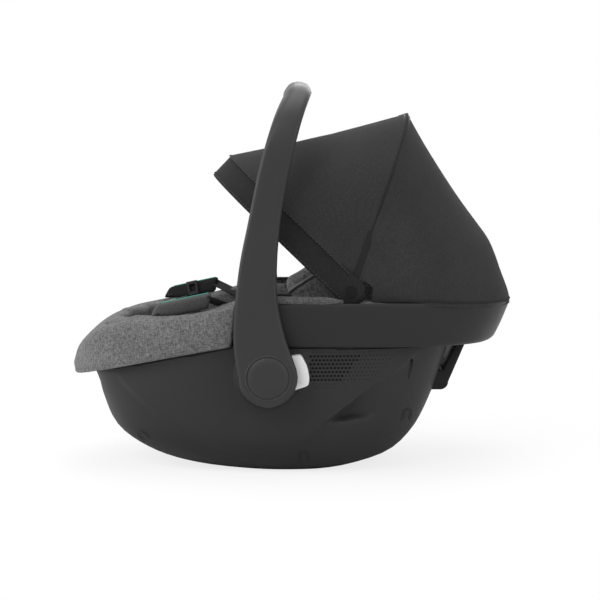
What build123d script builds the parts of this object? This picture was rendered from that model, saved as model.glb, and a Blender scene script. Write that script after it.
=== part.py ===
from build123d import *
from math import copysign, cos, radians, sin, tan, tau
import os

os.makedirs("parts", exist_ok=True)

# Infant car seat. Millimetres; +X to the head end, -Y to the child's left, +Z up.

# Fits
FIT_GAP = 0.3
RUNNING_GAP = 0.05
LAYER_GAP = 0.8
CUT_OVERRUN = 30.0

# Plan outlines are blunt eggs
EGG_POINTS = 12
EGG_POWER = 2.6
WIDEST_X = 10.0

# Shell: each level has its height, foot end, head end and half width
SHELL_WALL = 4.0
SHELL_HALF_WIDTH = 180.0
SHELL_LEVELS = [
    (0, -125, 76, SHELL_HALF_WIDTH - 62),
    (6, -170, 110, SHELL_HALF_WIDTH - 46),
    (20, -217, 152, SHELL_HALF_WIDTH - 30),
    (50, -265, 185, SHELL_HALF_WIDTH - 15),
    (100, -291, 212, SHELL_HALF_WIDTH - 7),
    (150, -301, 230, SHELL_HALF_WIDTH - 3),
    (200, -305, 248, SHELL_HALF_WIDTH),
]

# Underside recess and its latch bars
RECESS_FOOT_X = -125.0
RECESS_HEAD_X = 105.0
RECESS_HALF_WIDTH = 75.0
RECESS_HEIGHT = 22.0
BAR_RADIUS = 5.0
BAR_HEIGHT = 11.0
BAR_INSET = 30.0

# Rim: a flared collar, bare at the head end and wrapped in fabric at the foot end
FOOT_X = -335.0
HEAD_X = 335.0
RIM_HALF_WIDTH = 196.0
RIM_FLANGE_INSET = 18.0
FOOT_COVER_DEPTH = 25.0
FOOT_COVER_END_DEPTH = 52.0
RIM_WALL = 6.0
RIM_FLANGE = 4.0
RIM_JOIN_X = -84.0
RIM_LEVELS = [
    (120, FOOT_X, HEAD_X - 54, RIM_HALF_WIDTH - 17),
    (270, FOOT_X - 3, HEAD_X + 10, RIM_HALF_WIDTH + 2),
]
RIM_LOW_EDGE = [(-345, 132), (-291, 148), (-184, 172), (RIM_JOIN_X, 192), (350, 187)]
RIM_HIGH_FOOT = [
    (-345, 150),
    (-335, 165),
    (-318, 188),
    (-295, 206),
    (-255, 222),
    (-215, 230),
    (-150, 237),
]
RIM_NOSE_RISE = (0.4, 1)
RIM_JOIN_RISE = (1, 0.12)
RIM_HIGH_JOIN = (RIM_JOIN_X, 254)
RIM_HIGH_HEAD = (350, 247)
RIM_HEIGHT = 62.0

# Bucket inside the liner, with the back as a straight slope
BACK_ANGLE = 33.4
BACK_FOOT_Z = 56.0
LINER_FLOOR_Z = 30.0
LINER_DROP = 8.0
LINER_RIM_INSET = 36.0
LINER_NECK = 14.0
LINER_NECK_FOOT_X = -280.0
LINER_NECK_HALF_WIDTH = 155.0
COVER_THICKNESS = 6.0
BUCKET_TOP_Z = 262.0


def back_x(height):
    """Where the back slope is at a height."""
    return (height - BACK_FOOT_Z) / tan(radians(BACK_ANGLE))


BUCKET_LEVELS = [
    (BACK_FOOT_Z, -165, back_x(BACK_FOOT_Z), 90),
    (100, -228, back_x(100), 118),
    (150, -260, back_x(150), 136),
    (200, -270, back_x(200), 146),
    (BUCKET_TOP_Z, -276, back_x(BUCKET_TOP_Z), 152),
]

# Handle
PIVOT_X = -36.4
PIVOT_Z = 150.0
PIVOT_RADIUS = 14.0
HUB_RADIUS = 42.5
HANDLE_INNER_Y = 199.0
HANDLE_OUTER_Y = 219.0
HANDLE_TOP_Z = 579.0
GRIP_THICKNESS = 27.0
HANDLE_CORNER = 105.0
CAP_RADIUS = 30.5
CAP_POCKET = 10.0
CAP_THICKNESS = 3.0
CAP_PROUD = 1.0
GRIP_INSERT_HALF = 62.0
GRIP_INSERT_DEPTH = 3.0
GRIP_INSERT_HALF_WIDTH = 13.0
HANDLE_FOOT_EDGE = [
    (-83, 170),
    (-86, 205),
    (-83, 260),
    (-76, 317),
    (-66, 366),
    (-42, 475),
    (-24, 533),
    (-13, 560),
]
HANDLE_HEAD_EDGE = [
    (1, 172),
    (-11, 206),
    (-22, 258),
    (-23, 317),
    (-19, 366),
    (1, 475),
    (17, 533),
    (28, 562),
]

# Hub drum and collar, lock and release button
DRUM_RADIUS = 64.0
COLLAR_RADIUS = 46.0
COLLAR_Y = 187.0
BOSS_RADIUS = 34.0
MECHANISM_Y = 150.0
AXLE_HEAD_RADIUS = 24.0
AXLE_HEAD = 4.0
AXLE_HEAD_Y = 159.0
AXLE_END_Y = 212.0
GEAR_TEETH = 12
GEAR_ROOT_RADIUS = 24.0
GEAR_TOOTH = 4.0
GEAR_THICKNESS = 5.0
WASHER_RADIUS = 25.0
WASHER_THICKNESS = 2.0
BUTTON_INNER_RADIUS = 36.5
BUTTON_OUTER_RADIUS = 59.5
BUTTON_FROM_ANGLE = -20.0
BUTTON_TO_ANGLE = 36.0
BUTTON_CORNER = 4.0
BUTTON_Y = 196.0
BUTTON_DEPTH = 28.0
BUTTON_GAP = 0.5
BUTTON_EDGE = 2.0

# Belt guides
REAR_GUIDE_HALF = 48.0
REAR_GUIDE_BAR = 12.0
REAR_GUIDE_SLOT = 11.0
REAR_GUIDE_SLOT_FOOT = 4.0
REAR_GUIDE_FOOT = 30.0
REAR_GUIDE_TOE = 12.0
REAR_GUIDE_LOW_Z = 110.0
REAR_GUIDE_TOP_Z = 187.5
SIDE_GUIDE_FOOT_X = -52.0
SIDE_GUIDE_HEAD_X = -2.0
SIDE_GUIDE_Y = 164.0
SIDE_GUIDE_THICKNESS = 9.0
SIDE_GUIDE_TOP_Z = 267.0
SIDE_GUIDE_SLOT = 5.0
SIDE_GUIDE_ROOT = 15.0
SIDE_GUIDE_EDGE = 1.5
ROLL_RADIUS = 6.0
ROLL_HEAD_X = 72.0

# Canopy
HOOD_X = 84.0
HOOD_Z = 271.0
FRONT_BOW_ANGLE = 136.0
REAR_BOW_ANGLE = 71.0
HEM_DROP = 21.0
KINK_ANGLE = 18.0
FRONT_BOW_REACH = 262.0
REAR_BOW_REACH = 272.0
KINK_REACH = 225.0
HEM_REACH = 250.0
FRONT_BOW_Y = 177.0
FRONT_BOW_THICKNESS = 4.0
REAR_BOW_THICKNESS = 3.0
FRONT_BOW_WIDTH = 42.0
REAR_BOW_WIDTH = 10.0
REAR_EYE_RADIUS = 12.0
BOW_GAP = 0.5
HOOD_CORNER = 125.0
HEM_CORNER = 165.0
PANEL_THICKNESS = 1.6
PANEL_START = 46.0
PIN_RADIUS = 4.0
PIN_HEAD_RADIUS = 8.0
PIN_HEAD = 2.0
BRACKET_THICKNESS = 6.0
BRACKET_WIDTH = 36.0

# Padding; along is measured up the back slope and lift square to it
SEAT_CUSHION_FOOT_X = -148.0
SEAT_CUSHION_TOP_Z = 82.0
CUSHION_EDGE = 7.0
BACK_CUSHION_FROM = 34.0
BACK_CUSHION_TO = 300.0
BACK_CUSHION_HALF = 100.0
BACK_CUSHION_LIFT = 18.0
CHANNEL_DEPTH = 4.0
CHANNEL_COUNT = 5

# Head support
HEADREST_FROM = 120.0
HEADREST_TO = 290.0
HEADREST_HALF = 80.0
HEADREST_THICKNESS = 22.0
HEADREST_CORNER = 30.0
WING_FROM = 98.0
WING_CORNER = 12.0
WING_OUTER_Y = 124.0
WING_LIFT = 186.0
WING_FOOT_LIFT = 58.0
WING_TOE_Y = 62.0
WING_THICKNESS = 25.0
PULL_HALF = 22.0
PULL_LENGTH = 24.0
PULL_THICKNESS = 6.0

# Harness
STRAP_WIDTH = 38.0
STRAP_THICKNESS = 2.0
STRAP_SLOT_ALONG = 126.0
STRAP_SLOT_Y = 32.0
STRAP_TURN = 1.9
STRAP_PAD_GAP = 3.5
STRAP_SLOT_GAP = 12.0
SHOULDER_STRAP_WIDTH = 17.0
PAD_FOOT_X = -205.0
PAD_FOOT_Z = 228.0
PAD_LENGTH = 92.0
PAD_HEIGHT = 22.0
PAD_THICKNESS = 9.0
PAD_TIP_HEIGHT = 7.0
PAD_TIP_RUN = 12.0
PAD_KEEL_RUN = 36.0
PAD_RAKE = 10.0
PAD_CORNER = 4.0
PAD_EDGE = 2.5
PAD_SLOPE = 12.0
PAD_LEAN = 18.0
PAD_Y = 152.0
TONGUE_LENGTH = 18.0
TONGUE_WIDTH = 24.0
TONGUE_THICKNESS = 4.0
TONGUE_ALONG = 48.0
CROTCH_FOOT_Z = 78.0
BUCKLE_X = -128.0
BUCKLE_Z = 106.0
BUCKLE_DEPTH = 18.0
BUCKLE_WIDTH = 46.0
BUCKLE_HEIGHT = 54.0
BUCKLE_EDGE = 4.0
BUTTON_CAP_WIDTH = 26.0
BUTTON_CAP_HEIGHT = 22.0
BUTTON_CAP_DEPTH = 8.0
BUTTON_CAP_PROUD = 2.0
BUTTON_CAP_RISE = 32.4
PRESS_TRAVEL = 4.0
CROTCH_PAD_WIDTH = 60.0
CROTCH_PAD_HEIGHT = 62.0
CROTCH_PAD_THICKNESS = 6.0
CROTCH_PAD_EDGE = 2.0
ADJUSTER_X = -190.0
ADJUSTER_LENGTH = 44.0
ADJUSTER_WIDTH = 40.0
ADJUSTER_HEIGHT = 14.0
ADJUSTER_STRAP_WIDTH = 28.0
ADJUSTER_STRAP_TOP_Z = 146.0


def save(piece, label):
    """Name a piece and write it."""
    piece.label = label
    export_step(piece, f"parts/{label}.step")


def save_pair(piece, label):
    """Write a left-hand piece and its mirror image."""
    save(piece, f"{label}_left")
    save(mirror(piece, about=Plane.XZ), f"{label}_right")


def egg(foot, head, half_width):
    """Points of a blunt egg, seen from above."""
    points = []
    for step in range(EGG_POINTS):
        along = cos(tau * step / EGG_POINTS)
        across = sin(tau * step / EGG_POINTS)
        reach = head - WIDEST_X if along > 0 else WIDEST_X - foot
        x = WIDEST_X + copysign(abs(along) ** (2 / EGG_POWER), along) * reach
        y = copysign(abs(across) ** (2 / EGG_POWER), across) * half_width
        points.append((x, y))
    return points


def egg_body(levels, inset=0.0, ruled=True):
    """Solid through a stack of eggs, drawn in all round by inset."""
    with BuildPart() as body:
        for height, foot, head, half_width in levels:
            with BuildSketch(Plane.XY.offset(height)):
                with BuildLine():
                    Spline(*egg(foot + inset, head - inset, half_width - inset), periodic=True)
                make_face()
        loft(ruled=ruled)
    return body.part


def level_at(levels, height):
    """Level between two given ones."""
    for low, high in zip(levels, levels[1:]):
        if low[0] <= height <= high[0]:
            share = (height - low[0]) / (high[0] - low[0])
            return tuple(a + (b - a) * share for a, b in zip(low, high))
    raise ValueError("height is outside the levels")


def side_block(low_shift=0.0, high_shift=0.0):
    """Rim in side view, with its two edges moved up, drawn out across the seat."""
    high = [(x, z + high_shift) for x, z in RIM_HIGH_FOOT + [RIM_HIGH_JOIN]]
    with BuildPart() as block:
        with BuildSketch(Plane.XZ):
            with BuildLine():
                low = Polyline(*[(x, z + low_shift) for x, z in RIM_LOW_EDGE])
                top = Spline(*high, tangents=[RIM_NOSE_RISE, RIM_JOIN_RISE])
                end = Line(top @ 1, (RIM_HIGH_HEAD[0], RIM_HIGH_HEAD[1] + high_shift))
                Line(low @ 0, top @ 0)
                Line(low @ 1, end @ 1)
            make_face()
        extrude(amount=RIM_HALF_WIDTH + CUT_OVERRUN, both=True)
    return block.part


def span_block(from_x, to_x, from_z, to_z, half_width=RIM_HALF_WIDTH + CUT_OVERRUN):
    """Plain block across the seat."""
    with BuildPart() as block:
        with Locations(((from_x + to_x) / 2, 0, (from_z + to_z) / 2)):
            Box(to_x - from_x, 2 * half_width, to_z - from_z)
    return block.part


def back_point(along, lift, y=0.0):
    """Point above the back slope."""
    turn = radians(BACK_ANGLE)
    x = along * cos(turn) - lift * sin(turn)
    return (x, y, BACK_FOOT_Z + along * sin(turn) + lift * cos(turn))


back_direction = Vector(cos(radians(BACK_ANGLE)), 0, sin(radians(BACK_ANGLE)))
back_normal = Vector(-sin(radians(BACK_ANGLE)), 0, cos(radians(BACK_ANGLE)))
back_plane = Plane(origin=(0, 0, BACK_FOOT_Z), x_dir=back_direction, z_dir=back_normal)
cover_inset = COVER_THICKNESS + LAYER_GAP
room_inset = cover_inset + LAYER_GAP
cover_levels = [level_at(BUCKET_LEVELS, BACK_FOOT_Z + LAYER_GAP)] + BUCKET_LEVELS[1:]
lining_levels = [level_at(BUCKET_LEVELS, BACK_FOOT_Z + cover_inset)] + BUCKET_LEVELS[1:]
room_levels = [level_at(BUCKET_LEVELS, BACK_FOOT_Z + room_inset)] + BUCKET_LEVELS[1:]
bucket_room = egg_body(room_levels, room_inset)
rim_outside = egg_body(RIM_LEVELS)
shell_outside = egg_body(SHELL_LEVELS, ruled=False)
pivot_plane = Plane(origin=(PIVOT_X, 0, PIVOT_Z), x_dir=(1, 0, 0), z_dir=(0, -1, 0))


def button_outline(gap=0.0):
    """Band beside the hub, as a sketch on the pivot plane."""
    start = radians(BUTTON_FROM_ANGLE)
    end = radians(BUTTON_TO_ANGLE)
    sweep_angle = BUTTON_TO_ANGLE - BUTTON_FROM_ANGLE
    inner = BUTTON_INNER_RADIUS
    outer = BUTTON_OUTER_RADIUS
    with BuildSketch() as outline:
        with BuildLine():
            CenterArc((0, 0), inner, BUTTON_FROM_ANGLE, sweep_angle)
            CenterArc((0, 0), outer, BUTTON_FROM_ANGLE, sweep_angle)
            for turn in (start, end):
                Line((inner * cos(turn), inner * sin(turn)), (outer * cos(turn), outer * sin(turn)))
        make_face()
        fillet(outline.vertices(), BUTTON_CORNER)
        if gap:
            offset(amount=gap)
    return outline.sketch


# Shell with its hub drums, recess and slots
inner_levels = [level_at(SHELL_LEVELS, SHELL_WALL)] + SHELL_LEVELS[2:]
recess_outer = span_block(
    RECESS_FOOT_X - SHELL_WALL,
    RECESS_HEAD_X + SHELL_WALL,
    0,
    RECESS_HEIGHT + SHELL_WALL,
    RECESS_HALF_WIDTH + SHELL_WALL,
)
recess_inner = span_block(
    RECESS_FOOT_X, RECESS_HEAD_X, -CUT_OVERRUN, RECESS_HEIGHT, RECESS_HALF_WIDTH
)
bar_xs = (RECESS_FOOT_X + BAR_INSET, RECESS_HEAD_X - BAR_INSET)
bar_length = 2 * (RECESS_HALF_WIDTH + SHELL_WALL)
with BuildPart() as shell_room:
    add(egg_body(inner_levels, SHELL_WALL))
    add(recess_outer, mode=Mode.SUBTRACT)
with BuildPart() as hub_bosses:
    for side in (-1, 1):
        with BuildSketch(pivot_plane.offset(MECHANISM_Y * side)):
            Circle(DRUM_RADIUS)
        extrude(amount=(COLLAR_Y - MECHANISM_Y) * side)
    add(shell_outside, mode=Mode.INTERSECT)
    for side in (-1, 1):
        with BuildSketch(pivot_plane.offset(MECHANISM_Y * side)):
            Circle(COLLAR_RADIUS)
        extrude(amount=(COLLAR_Y - MECHANISM_Y) * side)
        with BuildSketch(pivot_plane.offset(COLLAR_Y * side)):
            Circle(BOSS_RADIUS)
        extrude(amount=(HANDLE_INNER_Y - FIT_GAP - COLLAR_Y) * side)
with BuildPart() as shell_cuts:
    add(recess_inner)
    for side in (-1, 1):
        with BuildSketch(pivot_plane.offset(MECHANISM_Y * side)):
            Circle(PIVOT_RADIUS + RUNNING_GAP)
        extrude(amount=(HANDLE_OUTER_Y - MECHANISM_Y) * side)
        with BuildSketch(pivot_plane.offset(MECHANISM_Y * side)):
            add(button_outline(BUTTON_GAP))
        extrude(amount=(HANDLE_OUTER_Y - MECHANISM_Y) * side)
    for bar_x in bar_xs:
        with Locations(Pos(bar_x, 0, BAR_HEIGHT) * Rot(90, 0, 0)):
            Cylinder(BAR_RADIUS + RUNNING_GAP, bar_length)
with BuildPart() as outer_shell:
    add(shell_outside)
    add(hub_bosses.part)
    add(shell_room.part, mode=Mode.SUBTRACT)
    add(side_block(-FIT_GAP, CUT_OVERRUN), mode=Mode.SUBTRACT)
    add(shell_cuts.part, mode=Mode.SUBTRACT)
save(outer_shell.part, "outer_shell")

for label, bar_x in zip(("latch_bar_front", "latch_bar_rear"), bar_xs):
    with BuildPart() as latch_bar:
        with Locations(Pos(bar_x, 0, BAR_HEIGHT) * Rot(90, 0, 0)):
            Cylinder(BAR_RADIUS, bar_length)
    save(latch_bar.part, label)

# Head rim: a flared wall on a flange that reaches over the top of the shell
shell_top = level_at(SHELL_LEVELS, RIM_LOW_EDGE[-1][1])[1:]
neck_levels = [(RIM_LEVELS[0][0], *shell_top), (RIM_LEVELS[1][0], *shell_top)]
with BuildPart() as rim_pocket:
    add(egg_body(RIM_LEVELS, RIM_WALL))
    add(side_block(RIM_FLANGE, CUT_OVERRUN), mode=Mode.INTERSECT)
with BuildPart() as head_rim:
    add(rim_outside)
    add(span_block(RIM_JOIN_X, HEAD_X + CUT_OVERRUN, 0, HANDLE_TOP_Z), mode=Mode.INTERSECT)
    add(side_block(), mode=Mode.INTERSECT)
    add(rim_pocket.part, mode=Mode.SUBTRACT)
    add(egg_body(neck_levels, RIM_FLANGE_INSET), mode=Mode.SUBTRACT)
save(head_rim.part, "head_rim")

# Fabric over the foot end
foot_levels = [
    (height, foot + FOOT_COVER_END_DEPTH, head, half_width - FOOT_COVER_DEPTH)
    for height, foot, head, half_width in RIM_LEVELS
]
with BuildPart() as foot_cover:
    add(rim_outside)
    add(
        span_block(FOOT_X - CUT_OVERRUN, RIM_JOIN_X - FIT_GAP, 0, HANDLE_TOP_Z),
        mode=Mode.INTERSECT,
    )
    add(side_block(), mode=Mode.INTERSECT)
    add(egg_body(foot_levels), mode=Mode.SUBTRACT)
save(foot_cover.part, "foot_cover")

# Foam liner: inside the shell, up through the rim and over its flange
liner_levels = [level_at(SHELL_LEVELS, LINER_FLOOR_Z)] + SHELL_LEVELS[3:]
with BuildPart() as liner_foot:
    add(egg_body(liner_levels, SHELL_WALL + LAYER_GAP))
    add(side_block(-LAYER_GAP, CUT_OVERRUN), mode=Mode.SUBTRACT)
liner_neck_head = shell_top[1] - RIM_FLANGE_INSET - LAYER_GAP
liner_neck_levels = [
    (height, LINER_NECK_FOOT_X, liner_neck_head, LINER_NECK_HALF_WIDTH) for height, *_ in RIM_LEVELS
]
with BuildPart() as liner_neck:
    add(egg_body(liner_neck_levels))
    add(side_block(-LINER_NECK, -LINER_DROP), mode=Mode.INTERSECT)
top_levels = [
    (height, foot + FOOT_COVER_END_DEPTH - LINER_RIM_INSET + LAYER_GAP, head, half_width)
    for height, foot, head, half_width in RIM_LEVELS
]
with BuildPart() as liner_top:
    add(egg_body(top_levels, LINER_RIM_INSET))
    add(side_block(RIM_FLANGE + LAYER_GAP, -LINER_DROP), mode=Mode.INTERSECT)
with BuildPart() as foam_liner:
    add(liner_foot.part)
    add(liner_neck.part)
    add(liner_top.part)
    add(egg_body(BUCKET_LEVELS), mode=Mode.SUBTRACT)
    add(hub_bosses.part, mode=Mode.SUBTRACT)
save(foam_liner.part, "foam_liner")

# Fabric lining of the bucket
with BuildPart() as seat_cover:
    add(egg_body(cover_levels, LAYER_GAP))
    add(egg_body(lining_levels, cover_inset), mode=Mode.SUBTRACT)
    add(side_block(-RIM_LOW_EDGE[0][1], -LINER_DROP), mode=Mode.INTERSECT)
save(seat_cover.part, "seat_cover")

# Axles, lock gears and washers on the handle's axis
with BuildPart() as handle_pivot:
    with BuildSketch(pivot_plane.offset(AXLE_HEAD_Y)):
        Circle(AXLE_HEAD_RADIUS)
    extrude(amount=AXLE_HEAD)
    with BuildSketch(pivot_plane.offset(AXLE_HEAD_Y)):
        Circle(PIVOT_RADIUS)
    extrude(amount=AXLE_END_Y - AXLE_HEAD_Y)
save_pair(handle_pivot.part, "handle_pivot")

with BuildPart() as lock_gear:
    with BuildSketch(pivot_plane.offset(AXLE_HEAD_Y + AXLE_HEAD + FIT_GAP)):
        Circle(GEAR_ROOT_RADIUS)
        with PolarLocations(GEAR_ROOT_RADIUS, GEAR_TEETH):
            Rectangle(2 * GEAR_TOOTH, GEAR_TOOTH)
        Circle(PIVOT_RADIUS + RUNNING_GAP, mode=Mode.SUBTRACT)
    extrude(amount=GEAR_THICKNESS)
save_pair(lock_gear.part, "lock_gear")

cap_floor_y = HANDLE_OUTER_Y - CAP_POCKET
with BuildPart() as pivot_washer:
    with BuildSketch(pivot_plane.offset(cap_floor_y + FIT_GAP)):
        Circle(WASHER_RADIUS)
        Circle(PIVOT_RADIUS + RUNNING_GAP, mode=Mode.SUBTRACT)
    extrude(amount=WASHER_THICKNESS)
save_pair(pivot_washer.part, "pivot_washer")

# Release buttons
with BuildPart() as release_button:
    with BuildSketch(pivot_plane.offset(BUTTON_Y - BUTTON_DEPTH)):
        add(button_outline())
    extrude(amount=BUTTON_DEPTH)
    fillet(release_button.faces().sort_by(Axis.Y)[0].edges(), BUTTON_EDGE)
save_pair(release_button.part, "release_button")

# Carry handle: its side view and its front view, drawn through each other
hub_low_z = PIVOT_Z - HUB_RADIUS - CUT_OVERRUN
with BuildPart() as handle_side:
    with BuildSketch(Plane.XZ):
        with BuildLine():
            foot_edge = Spline(*HANDLE_FOOT_EDGE)
            head_edge = Spline(*HANDLE_HEAD_EDGE)
            Line(foot_edge @ 0, head_edge @ 0)
            top_middle = ((foot_edge @ 1).X / 2 + (head_edge @ 1).X / 2, HANDLE_TOP_Z)
            ThreePointArc(foot_edge @ 1, top_middle, head_edge @ 1)
        make_face()
        with Locations((PIVOT_X, PIVOT_Z)):
            Circle(HUB_RADIUS)
    extrude(amount=HANDLE_OUTER_Y, both=True)
inner_corner = HANDLE_CORNER - (HANDLE_OUTER_Y - HANDLE_INNER_Y)
grip_low_z = HANDLE_TOP_Z - GRIP_THICKNESS
with BuildPart() as handle_arch:
    with BuildSketch(Plane.YZ):
        with BuildLine():
            outer_line = FilletPolyline(
                (-HANDLE_OUTER_Y, hub_low_z),
                (-HANDLE_OUTER_Y, HANDLE_TOP_Z),
                (HANDLE_OUTER_Y, HANDLE_TOP_Z),
                (HANDLE_OUTER_Y, hub_low_z),
                radius=HANDLE_CORNER,
            )
            inner_line = FilletPolyline(
                (-HANDLE_INNER_Y, hub_low_z),
                (-HANDLE_INNER_Y, grip_low_z),
                (HANDLE_INNER_Y, grip_low_z),
                (HANDLE_INNER_Y, hub_low_z),
                radius=inner_corner,
            )
            Line(outer_line @ 0, inner_line @ 0)
            Line(outer_line @ 1, inner_line @ 1)
        make_face()
    extrude(amount=HANDLE_TOP_Z, both=True)
grip_x = (HANDLE_FOOT_EDGE[-1][0] + HANDLE_HEAD_EDGE[-1][0]) / 2
with BuildPart() as carry_handle:
    add(handle_side.part)
    add(handle_arch.part, mode=Mode.INTERSECT)
    with Locations(Pos(PIVOT_X, 0, PIVOT_Z) * Rot(90, 0, 0)):
        Cylinder(PIVOT_RADIUS + RUNNING_GAP, 2 * HANDLE_OUTER_Y, mode=Mode.SUBTRACT)
    for side in (-1, 1):
        with BuildSketch(pivot_plane.offset(cap_floor_y * side)):
            Circle(CAP_RADIUS + FIT_GAP)
        extrude(amount=CAP_POCKET * side, mode=Mode.SUBTRACT)
    with Locations((grip_x, 0, grip_low_z)):
        Box(
            2 * GRIP_INSERT_HALF_WIDTH,
            2 * GRIP_INSERT_HALF,
            2 * GRIP_INSERT_DEPTH,
            mode=Mode.SUBTRACT,
        )
save(carry_handle.part, "carry_handle")

with BuildPart() as grip_insert:
    with Locations((grip_x, 0, grip_low_z)):
        Box(
            2 * (GRIP_INSERT_HALF_WIDTH - FIT_GAP),
            2 * (GRIP_INSERT_HALF - FIT_GAP),
            2 * (GRIP_INSERT_DEPTH - FIT_GAP),
        )
save(grip_insert.part, "grip_insert")

with BuildPart() as hub_cap:
    with BuildSketch(pivot_plane.offset(HANDLE_OUTER_Y - CAP_THICKNESS)):
        Circle(CAP_RADIUS)
    extrude(amount=CAP_THICKNESS + CAP_PROUD)
    fillet(hub_cap.faces().sort_by(Axis.Y)[0].edges(), CAP_PROUD)
save_pair(hub_cap.part, "hub_cap")

# Rear belt guide, a bridge from the back of the shell to the rim, with a slot that widens upwards
guide_low_x = level_at(SHELL_LEVELS, REAR_GUIDE_LOW_Z)[2]
guide_top_x = level_at(SHELL_LEVELS, REAR_GUIDE_TOP_Z)[2]
slot_foot_z = REAR_GUIDE_LOW_Z + REAR_GUIDE_FOOT
slot_foot_x = level_at(SHELL_LEVELS, slot_foot_z)[2]
guide_reach = REAR_GUIDE_SLOT + REAR_GUIDE_BAR
toe_x = guide_low_x + guide_reach - REAR_GUIDE_TOE
with BuildPart() as rear_belt_guide:
    with BuildSketch(Plane.XZ):
        with BuildLine():
            sole = Line((guide_low_x - REAR_GUIDE_FOOT, REAR_GUIDE_LOW_Z), (toe_x, REAR_GUIDE_LOW_Z))
            outside_top = (guide_top_x + guide_reach, REAR_GUIDE_TOP_Z)
            toe = TangentArc(
                sole @ 1,
                (toe_x + REAR_GUIDE_TOE, REAR_GUIDE_LOW_Z + REAR_GUIDE_TOE),
                tangent=(1, 0),
            )
            Polyline(
                toe @ 1,
                outside_top,
                (guide_top_x + REAR_GUIDE_SLOT, REAR_GUIDE_TOP_Z),
                (slot_foot_x + REAR_GUIDE_SLOT_FOOT, slot_foot_z),
                (guide_low_x - REAR_GUIDE_FOOT, slot_foot_z),
                sole @ 0,
            )
        make_face()
    extrude(amount=REAR_GUIDE_HALF, both=True)
    add(egg_body(SHELL_LEVELS, -FIT_GAP, ruled=False), mode=Mode.SUBTRACT)
save(rear_belt_guide.part, "rear_belt_guide")

# Side belt guides, hooks that stand in the rim
rim_floor_z = RIM_HIGH_JOIN[1] - RIM_HEIGHT + RIM_FLANGE
hook_z = SIDE_GUIDE_TOP_Z - 2 * SIDE_GUIDE_SLOT
with BuildPart() as belt_guide:
    with BuildSketch(Plane.XZ.offset(SIDE_GUIDE_Y)):
        with BuildLine():
            FilletPolyline(
                (SIDE_GUIDE_FOOT_X, rim_floor_z),
                (SIDE_GUIDE_HEAD_X, rim_floor_z),
                (SIDE_GUIDE_HEAD_X, SIDE_GUIDE_TOP_Z),
                (SIDE_GUIDE_FOOT_X, SIDE_GUIDE_TOP_Z),
                (SIDE_GUIDE_FOOT_X, hook_z + SIDE_GUIDE_SLOT),
                (SIDE_GUIDE_HEAD_X - SIDE_GUIDE_ROOT, hook_z + SIDE_GUIDE_SLOT),
                (SIDE_GUIDE_HEAD_X - SIDE_GUIDE_ROOT, hook_z),
                (SIDE_GUIDE_FOOT_X, hook_z),
                radius=SIDE_GUIDE_EDGE,
                close=True,
            )
        make_face()
    extrude(amount=SIDE_GUIDE_THICKNESS)
save_pair(belt_guide.part, "belt_guide")

# Rolled edge of the fabric behind the handle
roll_y = RIM_HALF_WIDTH - RIM_WALL - FIT_GAP
with BuildPart() as rim_roll:
    with BuildSketch(Plane.YZ.offset(RIM_JOIN_X + ROLL_RADIUS)):
        with Locations((-roll_y, RIM_HIGH_JOIN[1] + ROLL_RADIUS + FIT_GAP)):
            Circle(ROLL_RADIUS)
    extrude(amount=ROLL_HEAD_X - RIM_JOIN_X - ROLL_RADIUS)
    fillet(rim_roll.edges(), ROLL_RADIUS / 2)
save_pair(rim_roll.part, "rim_roll")


def hood_plane(angle):
    """Plane through the canopy's pivots, with its own Y outwards."""
    turn = radians(angle)
    return Plane(origin=(HOOD_X, 0, HOOD_Z), x_dir=(0, 1, 0), z_dir=(sin(turn), 0, -cos(turn)))


def hood_arch(half_width, reach, thickness, start=0.0, corner=HOOD_CORNER):
    """Arch of a bow, as a sketch."""
    with BuildSketch() as arch:
        with BuildLine():
            outside = FilletPolyline(
                (-half_width, start),
                (-half_width, reach),
                (half_width, reach),
                (half_width, start),
                radius=corner,
            )
            inside = FilletPolyline(
                (thickness - half_width, start),
                (thickness - half_width, reach - thickness),
                (half_width - thickness, reach - thickness),
                (half_width - thickness, start),
                radius=corner - thickness,
            )
            Line(outside @ 0, inside @ 0)
            Line(outside @ 1, inside @ 1)
        make_face()
    return arch.sketch


# Canopy brackets, pins and bows
hood_axis_plane = Plane(origin=(HOOD_X, 0, HOOD_Z), x_dir=(1, 0, 0), z_dir=(0, -1, 0))
rear_bow_y = FRONT_BOW_Y - FRONT_BOW_THICKNESS - BOW_GAP
bracket_y = rear_bow_y - REAR_BOW_THICKNESS - BOW_GAP - BRACKET_THICKNESS
with BuildPart() as canopy_bracket:
    with BuildSketch(hood_axis_plane.offset(bracket_y)):
        Circle(BRACKET_WIDTH / 2)
        with Locations((0, (rim_floor_z - HOOD_Z) / 2)):
            Rectangle(BRACKET_WIDTH, HOOD_Z - rim_floor_z)
        Circle(PIN_RADIUS + RUNNING_GAP, mode=Mode.SUBTRACT)
    extrude(amount=BRACKET_THICKNESS)
save_pair(canopy_bracket.part, "canopy_bracket")

with BuildPart() as canopy_pin:
    with BuildSketch(hood_axis_plane.offset(bracket_y)):
        Circle(PIN_RADIUS)
    extrude(amount=FRONT_BOW_Y - bracket_y + BOW_GAP)
    with BuildSketch(hood_axis_plane.offset(FRONT_BOW_Y + BOW_GAP)):
        Circle(PIN_HEAD_RADIUS)
    extrude(amount=PIN_HEAD)
save_pair(canopy_pin.part, "canopy_pin")

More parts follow.
